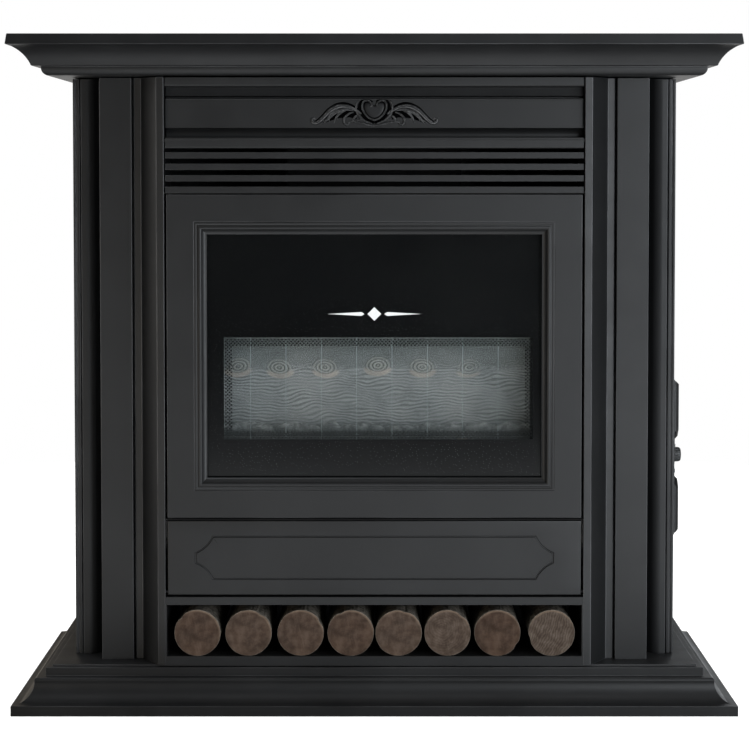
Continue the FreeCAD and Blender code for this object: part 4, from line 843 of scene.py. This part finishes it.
# Glass door: a welded frame of folded channel with softly rounded edges, hung on two pivot pins at its left.
# A moulded bead inside it holds the glass on a woven seal, with spring clips behind.
(_, door_face, door_low), (half_door, _, door_high) = node_box("door_frame")
door_border = 36.5
door_depth = 15.0
door_fold = 1.4
heavy_sheet = 2.0
bead_width = 16.0
bead_depth = 8.0
bead_lip = 2.6
bead_groove = (3.5, 0.35)
bead_round = [(4.4, 0.1), (9.6, 0.3)]
bead_slope = [(9.6, 1.6), (bead_width, 6.0)]
sight_low = door_low + door_border
sight_high = door_high - door_border
half_sight = half_door - door_border


def framed(profile, half_width, low, high, closed):
    """A profile of (inwards, back) carried round an upright rectangle, mitred at its four corners."""
    inwards, depth = profile[:, :1], profile[:, 1:]
    x = (half_width - inwards) * np.array([-1, 1, 1, -1])
    z = np.where([True, True, False, False], low + inwards, high - inwards)
    points = np.stack([x, np.broadcast_to(door_face + depth, x.shape), z], axis=-1)
    return points, quads(len(profile), 4, round_rows=closed, round_columns=True)


door_profile = profile_of((0, door_depth), (0, 0), (door_border, 0), (door_border, door_depth))
make_piece("door_channel", *framed(door_profile, half_door, door_low, door_high, False), casing_paint, "door",
           "casing_paint", ["door_frame"], wall=heavy_sheet, edge=door_fold)
bead_profile = profile_of(arc((0, 0), (bead_lip, 0), 0.12, 8), bead_groove, arc(*bead_round, 0.24, 20),
                          arc(*bead_slope, -0.10, 6), (bead_width, bead_depth), (0, bead_depth))
make_piece("moulded_bead", *framed(bead_profile, half_sight, sight_low, sight_high, True), casing_paint,
           "door", "casing_paint", ["glass_bead"], sharp=32)
woven_seal = Finish("woven_glass_seal", Roughness=0.9)
weave = woven_seal.node("TexWave", {"bands_direction": "DIAGONAL"}, Vector=woven_seal.place, Scale=260.0,
                        Distortion=3.0).outputs[1]
woven_seal.coat(Base_Color=woven_seal.mix(weave, (0.10, 0.10, 0.095, 1), (0.32, 0.31, 0.29, 1)))
woven_seal.bump((weave, 0.6, 0.0006))
dress(woven_seal, "glass_gasket")
dress(zinc_steel, "glass_clips", "door_catch_plate")
dress(dark_steel, "door_pivot_pins")

# Door glass: one toughened pane. Its back is printed with black enamel, apart from a long clear window.
# Rows of printed dots stand in a border inside the window; a plain white divider is printed above it.
(_, _, seen_low), (half_seen, glass_back, seen_high) = node_box("door_glass")
half_window = 204.0
window_middle = 5.5
window_low = seen_low + 59.8
window_high = seen_low + 194.8
print_thickness = 0.10
print_gap = 0.02
print_face = glass_back - print_gap - print_thickness
dot_pitch = 4.8
dot_radius = 0.26 * dot_pitch
dot_border = 10.6
divider_z = seen_low + 225.8
divider_gap = 0.01
divider_back = print_face - divider_gap
divider_forms = [np.array([(-9.0, 0), (0, -9.0), (9.0, 0), (0, 9.0)]),
                 np.array([(13.0, 0), (17.0, -2.6), (62.0, 0), (17.0, 2.6)]),
                 np.array([(-13.0, 0), (-17.0, 2.6), (-62.0, 0), (-17.0, -2.6)])]
pane_smear = [(0.010, 0.012, 0.012, 1), (0.030, 0.034, 0.033, 1)]
enamel_tones = [(0.0018, 0.0019, 0.0021, 1), (0.0025, 0.0026, 0.0029, 1)]
white_tones = [(0.62, 0.63, 0.63, 1), (0.80, 0.80, 0.80, 1)]


def rectangle(left, right, low, high):
    """Corners of a rectangle."""
    return np.array([(left, low), (right, low), (right, high), (left, high)])


def dot_field(half_width, low, high):
    """Middles of dots on staggered rows, in a border of even width inside a window's edge."""
    reach = int(half_width / dot_pitch * 2) + 1
    rows = int((high - low) / dot_pitch * 2) + 2
    column, line = np.meshgrid(np.arange(-reach, reach + 1), np.arange(rows), indexing="ij")
    x = column * dot_pitch / 2
    z = low + line * dot_pitch / 2
    inside = np.minimum(half_width - np.abs(x), np.minimum(z - low, high - z))
    kept = ((column + line) % 2 == 0) & (inside > dot_radius) & (inside < dot_border)
    return x[kept], z[kept]


clear_glass = Finish("tinted_pane", IOR=1.5, Alpha=0.10, Specular_IOR_Level=0.0)
clear_glass.coat(Base_Color=clear_glass.mix(clear_glass.patches(9.0, 4.0, 0.3, 0.8), *pane_smear),
                 Roughness=clear_glass.patches(60.0, 3.0, 0.3, 0.8, 0.16, 0.22))
dress(clear_glass, "door_glass")
black_print = Finish("black_glass_print", IOR=1.5, Specular_IOR_Level=0.3)
black_print.coat(Base_Color=black_print.mix(black_print.cloud(6.0), *enamel_tones),
                 Roughness=black_print.patches(5.0, 3.0, 0.3, 0.7, 0.13, 0.17))
white_print = Finish("white_glass_print", Roughness=0.35)
white_print.coat(Base_Color=white_print.mix(white_print.cloud(400.0), *white_tones))
print_outer = rectangle(-half_seen, half_seen, seen_low, seen_high)
print_inner = rectangle(window_middle - half_window, window_middle + half_window, window_low, window_high)
print_rings = [(print_outer, 0), (print_inner, 0), (print_inner, print_thickness),
               (print_outer, print_thickness)]
print_points = np.array([np.insert(ring, 1, print_face + depth, axis=1) for ring, depth in print_rings])
make_piece("enamel_print", print_points, quads(4, 4, round_rows=True, round_columns=True), black_print,
           "door", "printed_glass", sharp=10)
dot_x, dot_z = dot_field(half_window, window_low, window_high)
dot_outline = dot_radius * np.stack([np.cos(whole_turn(8)), np.sin(whole_turn(8))], axis=1)
dot_places = np.stack([window_middle + dot_x, np.full(dot_x.shape, print_face), dot_z], axis=1)
dot = straight_bar(dot_outline, 1, 0, print_thickness)
make_piece("print_dots", *many(dot, dot_places), black_print, "door", "printed_glass", sharp=10)
divider = [straight_bar(form + (0, divider_z), 1, divider_back - print_thickness, divider_back)
           for form in divider_forms]
make_piece("print_divider", *joined(*divider), white_print, "door", "printed_glass", sharp=10)

# Drop-down flap: a pressed pan on two pins below the door, with a fine line engraved as a long panel.
# The line's corners are scooped inwards; the pan's front edges are rounded.
(_, _, flap_low), (half_flap_width, _, flap_high) = node_box("access_flap")
half_flap = (flap_high - flap_low) / 2
flap_middle = (flap_low + flap_high) / 2
flap_depth = 14.0
flap_edge = [(0, flap_depth), (0, 1.8), (0.15, 0.95), (0.5, 0.4), (1.0, 0.1), (1.8, 0)]
cartouche_top = (213.7, 29.3)
cartouche_tip = (236.8, 7.6)
cartouche_bulge = 0.107
groove_width = 2.6
groove_depth = 1.2
groove_margin = 0.5


def to_rectangle(loop, inset):
    """Points of a loop pushed out from its middle to the flap's outline less an inset.

    The points nearest to the outline's corners are set on them.
    """
    half_sides = np.array([half_flap_width - inset, half_flap - inset])
    edge = loop / np.max(np.abs(loop) / half_sides, axis=1)[:, None]
    corners = np.array([(1, 1), (1, -1), (-1, -1), (-1, 1)]) * half_sides
    edge[np.linalg.norm(edge[:, None] - corners, axis=2).argmin(axis=0)] = corners
    return edge


quarter_line = arc(cartouche_top, cartouche_tip, cartouche_bulge, 20)
cartouche = np.concatenate([quarter_line, quarter_line[::-1] * (1, -1), quarter_line * (-1, -1),
                            quarter_line[::-1] * (-1, 1)])
ahead = np.roll(cartouche, -1, axis=0) - cartouche
ahead /= np.linalg.norm(ahead, axis=1)[:, None]
along = ahead + np.roll(ahead, 1, axis=0)
inwards = 2 * np.stack([along[:, 1], -along[:, 0]], axis=1) / (along ** 2).sum(axis=1)[:, None]
middle_line = cartouche * (0.9, 0)
inner_edge = to_rectangle(cartouche, heavy_sheet)
flap_rows = [(middle_line, heavy_sheet), (inner_edge, heavy_sheet), (inner_edge, flap_depth)]
flap_rows += [(to_rectangle(cartouche, inset), depth) for inset, depth in flap_edge]
flap_rows += [(cartouche - inwards * groove_margin, 0)]
flap_rows += [(cartouche + inwards * groove_width * share, groove_depth * math.sin(math.pi * share) ** 0.8)
              for share in np.linspace(0, 1, 9)]
flap_rows += [(cartouche + inwards * (groove_width + groove_margin), 0), (middle_line, 0)]
flap_points = np.array([np.insert(line + (0, flap_middle), 1, door_face + depth, axis=1)
                        for line, depth in flap_rows])
make_piece("flap_pan", flap_points, quads(len(flap_rows), len(cartouche), round_columns=True), casing_paint,
           "flap", "casing_paint", ["access_flap"], sharp=35, weld=True)
dress(dark_steel, "flap_pins")

# Side control: a painted plate on the right side with two raised panels, held by four screws between them.
# A fluted black knob turns on the valve's spindle in the middle; the spark button stands in the lower panel.
control_low, control_high = node_box("control_escutcheon")
knob_low, knob_high = node_box("control_knob")
button_low, button_high = node_box("igniter_button")
screw_low, screw_high = node_box("escutcheon_screws")
plate_x, plate_left, plate_foot = control_low
panel_x, plate_right, plate_top = control_high
plate_face = plate_x + 2.5
panel_margin = 2.0
panel_cut = 12.0
lower_start = plate_foot + panel_margin
lower_end = lower_start + 76.0
upper_start = plate_top - panel_margin
upper_end = upper_start - 80.0
knob_middle = ((knob_low + knob_high) / 2)[1:]
control_y, knob_z = knob_middle
button_middle = np.array([control_y, (button_low[2] + button_high[2]) / 2])
upper_middle = np.array([control_y, (upper_start + upper_end) / 2])
plate_seam = button_middle[1] + 38.0
plate_rays = 96
panel_core = 4.0
button_hole = 7.5
spindle_hole = 4.5
plate_screw = 6.0
plate_screw_rise = 2.2
rightwards = [(0, 1, 0), (0, 0, 1), (1, 0, 0)]
plate_edge = [(0.8, plate_face), (0.3, plate_face - 0.2), (0, plate_face - 0.7), (0, plate_x)]
panel_edge = [(5.2, panel_x), (4.5, panel_x - 0.1), (3.9, panel_x - 0.5), (0.8, panel_x - 3.6),
              (0.3, panel_x - 4.2), (0, panel_x - 5.0), (0, plate_face)]


def pierced_plate(outline, middle, hole_rings, edge_rings, pierced=True):
    """Plate facing right, as rings from a round hole over the face to the outline.

    A ring of the hole is a radius and its X, a ring of the outline an inset and its X. Rays run from the
    hole's middle to the nearest side of the outline, drawn in by the inset; the rays next to its corners run
    to the corners, which move in along their mitres.
    """
    turn = whole_turn(plate_rays)
    corners = np.asarray(outline, float) - middle
    sides = np.roll(corners, -1, axis=0) - corners
    outwards = np.stack([sides[:, 1], -sides[:, 0]], axis=1) / np.linalg.norm(sides, axis=1)[:, None]
    before = np.roll(outwards, 1, axis=0)
    mitre = (before + outwards) / (1 + (before * outwards).sum(axis=1))[:, None]
    corner_turn = np.arctan2(corners[:, 1], corners[:, 0])
    nearest = np.abs(np.exp(1j * turn)[:, None] - np.exp(1j * corner_turn)).argmin(axis=0)
    rays = np.stack([np.cos(turn), np.sin(turn)], axis=1)
    slope = np.maximum(rays @ outwards.T, 1e-6)
    rings = [np.insert(middle + radius * rays, 0, x, axis=1) for radius, x in hole_rings]
    for inset, x in edge_rings:
        ring = middle + rays * (((outwards * corners).sum(axis=1) - inset) / slope).min(axis=1)[:, None]
        ring[nearest] = middle + corners - inset * mitre
        rings.append(np.insert(ring, 0, x, axis=1))
    if pierced:
        return np.array(rings), quads(len(rings), plate_rays, round_rows=True, round_columns=True)
    return np.array(rings), tube_faces(len(rings), plate_rays)


def panel_outline(edge, end):
    """A raised panel from its outer edge to its inner end, in (Y, Z), with the inner corners cut off."""
    knee = end - math.copysign(panel_cut, end - edge)
    left, right = plate_left + panel_margin, plate_right - panel_margin
    outline = [(left, edge), (right, edge), (right, knee), (right - panel_cut, end), (left + panel_cut, end),
               (left, knee)]
    return outline if end > edge else outline[::-1]


control_parts = [
    pierced_plate(rectangle(plate_left, plate_right, plate_foot, plate_seam), button_middle,
                  [(button_hole, plate_x), (button_hole, plate_face)], plate_edge),
    pierced_plate(rectangle(plate_left, plate_right, plate_seam, plate_top), knob_middle,
                  [(spindle_hole, plate_x), (spindle_hole, plate_face)], plate_edge),
    pierced_plate(panel_outline(lower_start, lower_end), button_middle,
                  [(button_hole, plate_face), (button_hole, panel_x - 0.5), (button_hole + 0.5, panel_x)],
                  panel_edge),
    pierced_plate(panel_outline(upper_start, upper_end), upper_middle, [(panel_core, panel_x)], panel_edge,
                  pierced=False)]
make_piece("control_plate", *joined(*control_parts), casing_paint, "casing", "casing_paint",
           ["control_escutcheon"])
plate_places = [(plate_face, y, z) for y in (screw_low[1] + plate_screw / 2, screw_high[1] - plate_screw / 2)
                for z in (screw_low[2] + plate_screw / 2, screw_high[2] - plate_screw / 2)]
make_piece("control_plate_screws", *cross_screws(plate_screw, plate_screw_rise, rightwards, plate_places),
           zinc_steel, "casing", "bare_steel", ["escutcheon_screws"])
tick_count = 7
tick_half = 0.6
tick_back = plate_face - 0.02
tick_front = plate_face + 0.08
tick_turn = np.radians(np.linspace(0, 270, tick_count))[:, None]
tick_start = np.full((tick_count, 1), 14.0)
tick_end = np.linspace(16.0, 20.0, tick_count)[:, None]
tick_along = np.concatenate([tick_start, tick_end, tick_end, tick_start], axis=1)
tick_aside = tick_half * np.array([-1, -1, 1, 1])
tick_y = control_y - tick_along * np.sin(tick_turn) + tick_aside * np.cos(tick_turn)
tick_z = knob_z + tick_along * np.cos(tick_turn) + tick_aside * np.sin(tick_turn)
ticks = [straight_bar(outline, 0, tick_back, tick_front) for outline in np.stack([tick_y, tick_z], axis=-1)]
make_piece("control_ticks", *joined(*ticks), white_print, "casing", "casing_paint", sharp=10)
knob_line = np.array([(8.6, 0), (9.9, 0.15), (10.4, 0.5), (10.5, 1.0), (10.5, 2.3), (10.3, 2.8), (10.0, 3.1),
                      (10.1, 3.6), (10.2, 6.0), (10.1, 9.0), (9.9, 11.6), (9.5, 13.1), (8.9, 14.1),
                      (8.1, 14.7), (7.2, 15.0), (6.4, 14.9), (5.6, 14.5), (3.0, 14.3), (0.4, 14.3)])
knob_around = 192
knob_flute_count = 16
pointer_outline = np.array([(-0.7, 1.5), (0.7, 1.5), (0.5, 6.6), (-0.5, 6.6)])
pointer_levels = knob_low[0] + np.array([14.2, 14.75])
button_radius = 7.0
button_around = 64
button_dome = 14.0
button_chamfer = 0.4
stem_radius = 4.0
cap_back = plate_x + 4.1


def moulded_plastic(name, dark, pale):
    """Moulded plastic: a faint cloud of two tones, and the mould's fine grain in its gloss and relief."""
    plastic = Finish(name, IOR=1.5)
    plastic.coat(Base_Color=plastic.mix(plastic.cloud(120.0), dark, pale),
                 Roughness=plastic.patches(600.0, 3.0, 0.3, 0.7, 0.34, 0.46))
    plastic.bump((plastic.cloud(1800.0, 2.0), 0.12, 0.0003))
    return plastic


def turned(radii, along, axis, middle):
    """Turned piece round an axis through a middle: rows of radii, each alike or one for each angle.

    A point stands the radius away from the axis at its angle; the first and last rings have their own faces.
    """
    turn = whole_turn(radii.shape[1])
    places = [middle[0] + radii * np.sin(turn), middle[1] + radii * np.cos(turn)]
    places.insert(axis, np.broadcast_to(np.reshape(along, (-1, 1)), radii.shape))
    return np.stack(places, axis=-1), tube_faces(*radii.shape)


knob_plastic = moulded_plastic("black_knob_plastic", (0.016, 0.017, 0.018, 1), (0.028, 0.029, 0.030, 1))
knob_flutes = np.clip(np.cos(knob_flute_count * whole_turn(knob_around)), 0, 1) ** 0.7
knob_grip = np.interp(knob_line[:, 1], [3.0, 4.2, 11.0, 14.4], [0, 0.85, 0.75, 0]) * (knob_line[:, 0] > 7)
knob_radii = knob_line[:, :1] - knob_grip[:, None] * knob_flutes
knob = turned(knob_radii, knob_low[0] + knob_line[:, 1], 0, knob_middle)
make_piece("fluted_knob", *knob, knob_plastic, "knob", "knob_plastic", ["control_knob"], sharp=45)
pointer = straight_bar(knob_middle + pointer_outline, 0, *pointer_levels)
make_piece("knob_pointer", *pointer, white_print, "knob", "knob_plastic", sharp=10)
button_plastic = moulded_plastic("grey_button_plastic", (0.030, 0.031, 0.033, 1), (0.046, 0.047, 0.050, 1))
dome_radii = np.linspace(button_radius - 0.2, 0.2, 14)
dome_x = button_high[0] - button_dome + np.sqrt(button_dome ** 2 - dome_radii ** 2)
button_radii = np.concatenate([[stem_radius - button_chamfer, stem_radius, stem_radius],
                               [button_radius - button_chamfer, button_radius, button_radius], dome_radii])
button_x = np.concatenate([[button_low[0], button_low[0] + button_chamfer, cap_back],
                           [cap_back, cap_back + button_chamfer, dome_x[0] - 0.35], dome_x - 0.05])
button_rings = np.repeat(button_radii[:, None], button_around, axis=1)
make_piece("spark_button", *turned(button_rings, button_x, 0, button_middle), button_plastic, "button",
           "button_plastic", ["igniter_button"], sharp=35)

# Flue collar and gas inlet: a zinc coated spigot with a stop bead, and a brass nipple with a thread.
# Both pass through holes in the rear panel, for the flue pipe and the gas pipe of the house.
flue_low, flue_high = node_box("flue_spigot")
flue_z = (flue_low[2] + flue_high[2]) / 2
flue_start = flue_low[1]
flue_end = flue_high[1]
flue_radius = 75.0
flue_wall = 1.5
flue_inner = flue_radius - flue_wall
flue_rim = flue_end - flue_wall / 2
flue_bead = 4.0
flue_groove_start = flue_end - 17.0
flue_groove_end = flue_end - 12.0
flue_groove_margin = 2.0
flue_seam_rise = 0.5
flue_around = 144
flue_line = profile_of((flue_radius, flue_start),
                       arc((flue_radius, rear_face), (flue_radius, rear_face + flue_bead), 0.98, 16),
                       (flue_radius, flue_groove_start - flue_groove_margin),
                       arc((flue_radius, flue_groove_start), (flue_radius, flue_groove_end), -0.22, 10),
                       (flue_radius, flue_groove_end + flue_groove_margin),
                       arc((flue_radius, flue_rim), (flue_inner, flue_rim), 0.5, 8), (flue_inner, flue_start))
flue_seam = flue_seam_rise * np.exp(-((whole_turn(flue_around) - math.pi) / 0.06) ** 2)
flue_outer = (flue_line[:, :1] > flue_radius - 0.9) & (flue_line[:, :1] < flue_radius + 0.1)
flue_points, _ = turned(flue_line[:, :1] + flue_outer * flue_seam, flue_line[:, 1], 1, (0, flue_z))
flue_faces = quads(len(flue_line), flue_around, round_rows=True, round_columns=True)
make_piece("flue_collar", flue_points, flue_faces, zinc_steel, "casing", "bare_steel", ["flue_spigot"],
           sharp=50)
nipple_low, nipple_high = node_box("gas_inlet_nipple")
inlet_middle = ((nipple_low + nipple_high) / 2)[[0, 2]]
inlet_bore = 8.0
bore_flare = 0.4
bore_length = 14.0
inlet_around = 48
thread_radius = 10.4775
thread_pitch = 1.814
thread_depth = 1.16
thread_chamfer = 1.6
thread_start = rear_face + 6.0
thread_end = nipple_high[1]
hexagon_radius = 17.0
collar_radius = 15.5


def chamfered_disc(radius, sides, start, end, chamfer, cut):
    """Disc with a number of sides on the inlet's axis: over each chamfer its radius falls by the cut."""
    radii = np.repeat(radius - np.array([[cut], [0], [0], [cut]]), sides, axis=1)
    return turned(radii, [start, start + chamfer, end - chamfer, end], 1, inlet_middle)


thread_along = np.arange(thread_start - 0.5, thread_end, thread_pitch / 8)
thread_share = thread_along[:, None] / thread_pitch - np.linspace(0, 1, inlet_around, endpoint=False)
thread_cut = thread_depth * np.abs(2 * (thread_share - np.floor(thread_share)) - 1)
thread_lead = np.clip((thread_along - thread_end + thread_chamfer) / thread_chamfer, 0, 1)[:, None]
thread_radii = thread_radius - np.maximum(thread_cut, thread_depth * thread_lead)
bore_radii = np.full((3, inlet_around), inlet_bore) + np.array([[bore_flare], [0], [0]])
bore_along = [thread_end, thread_end - 0.5, thread_end - bore_length]
thread = turned(np.concatenate([thread_radii, bore_radii]), np.concatenate([thread_along, bore_along]), 1,
                inlet_middle)
hexagon = chamfered_disc(hexagon_radius, 6, rear_face, thread_start, 0.8, 1.4)
collar = chamfered_disc(collar_radius, inlet_around, nipple_low[1], rear_face - sheet, 1.0, 1.0)
make_piece("gas_nipple", *joined(thread, hexagon, collar), gas_brass, "casing", "gas_brass",
           ["gas_inlet_nipple"], sharp=35)

# Studio: a wide pale floor under an even white surround, soft lights and the camera at the photo's angle.
# A light has its name, its place and its target in metres, its width and length, its watts and its colour.
floor_rings = 6
floor_around = 48
floor_reach = np.linspace(0.5, 2300, floor_rings)[:, None]
floor_turn = whole_turn(floor_around)
floor_tones = [(0.82, 0.82, 0.82, 1), (0.86, 0.86, 0.86, 1)]
studio_lights = [
    ("front", (0.30, -1.4, 0.03), (0.30, -1.4, 1), (2.0, 2.0), 16, (0.94, 0.97, 1.0)),
    ("front_right", (1.5, -2.7, 0.6), (0, -0.2, 0.45), (0.9, 0.9), 34, (0.90, 0.95, 1.0)),
    ("right", (2.7, -2.2, 0.9), (0, -0.2, 0.45), (1.2, 1.2), 42, (0.88, 0.94, 1.0)),
    ("top", (0, -0.9, 2.7), (0, -0.2, 0), (2.2, 1.6), 7, (1.0, 1.0, 1.0)),
    ("left", (-2.0, -2.3, 0.2), (-0.3, -0.2, 0.1), (0.8, 0.5), 11, (1.0, 0.87, 0.70)),
    ("back", (0, 1.75, 0.03), (0, 1.75, 1), (2.8, 2.2), 30, (1.0, 0.99, 0.97)),
    ("back_left", (-1.7, 3.0, 0.9), (-0.3, 0.2, 0.2), (1.4, 1.2), 5, (1.0, 0.88, 0.72)),
    ("back_right", (1.7, 3.0, 0.9), (0.3, 0.2, 0.2), (1.4, 1.2), 12, (0.93, 0.97, 1.0)),
    ("left_wall", (-2.6, 0.5, 0.8), (-0.4, 0.1, 0.45), (1.4, 1.4), 12, (1.0, 0.97, 0.93)),
    ("left_side", (-1.75, 0.6, 0.03), (-1.75, 0.6, 1), (1.5, 1.4), 5, (1.0, 0.98, 0.96)),
    ("right_side", (1.75, 0.6, 0.03), (1.75, 0.6, 1), (1.5, 1.4), 5, (0.96, 0.98, 1.0)),
]
camera_tilt = 2.5046
floor_points = np.stack([floor_reach * np.cos(floor_turn), floor_reach * np.sin(floor_turn),
                         np.zeros((floor_rings, floor_around))], axis=-1)
pale_floor = Finish("pale_floor", Roughness=0.8, Emission_Color=(1, 1, 1, 1), Emission_Strength=0.35)
pale_floor.coat(Base_Color=pale_floor.mix(pale_floor.cloud(3.0), *floor_tones))
floor_mesh = bpy.data.meshes.new("studio_floor")
floor_mesh.from_pydata((floor_points.reshape(-1, 3) / 1000).tolist(), [],
                       quads(floor_rings, floor_around, round_columns=True) + [list(range(floor_around))])
floor_mesh.materials.append(pale_floor.material)
floor = bpy.data.objects.new("studio_floor", floor_mesh)
bpy.context.scene.collection.objects.link(floor)
floor.visible_glossy = False
for name, place, target, size, power, colour in studio_lights:
    lamp = bpy.data.lights.new(name, "AREA")
    lamp.shape = "RECTANGLE"
    lamp.size, lamp.size_y = size
    lamp.energy = power
    lamp.color = colour
    light = bpy.data.objects.new(name, lamp)
    bpy.context.scene.collection.objects.link(light)
    aim = np.array(target) - np.array(place)
    light.location = place
    light.visible_camera = False
    light.rotation_euler = (math.atan2(np.hypot(aim[0], aim[1]), -aim[2]), 0, math.atan2(-aim[0], aim[1]))
overhead = bpy.data.lights.new("overhead", "SUN")
overhead.energy = 4.2
overhead.angle = math.radians(60)
overhead_light = bpy.data.objects.new("overhead", overhead)
overhead_light.location = (0, 0, 5)
overhead_light.visible_glossy = False
bpy.context.scene.collection.objects.link(overhead_light)
world = bpy.data.worlds.new("studio")
world.use_nodes = True
surround = world.node_tree.nodes["Background"]
surround.inputs["Color"].default_value = (1, 1, 1, 1)
seen = world.node_tree.nodes.new("ShaderNodeLightPath").outputs["Is Camera Ray"]
strength = world.node_tree.nodes.new("ShaderNodeMapRange")
strength.inputs["To Min"].default_value = 0.04
strength.inputs["To Max"].default_value = 1.0
world.node_tree.links.new(seen, strength.inputs["Value"])
world.node_tree.links.new(strength.outputs[0], surround.inputs["Strength"])
bpy.context.scene.world = world
bpy.context.scene.view_settings.view_transform = "Standard"
lens = bpy.data.cameras.new("photo_camera")
lens.lens = 101.5
lens.sensor_width = 36.0
lens.shift_x = 0.00086
lens.shift_y = -0.15
lens.clip_end = 100
camera = bpy.data.objects.new("photo_camera", lens)
camera.location = (0.0, -2.95, 0.7111)
camera.rotation_euler = (math.radians(90 - camera_tilt), 0, 0)
bpy.context.scene.collection.objects.link(camera)
bpy.context.scene.camera = camera
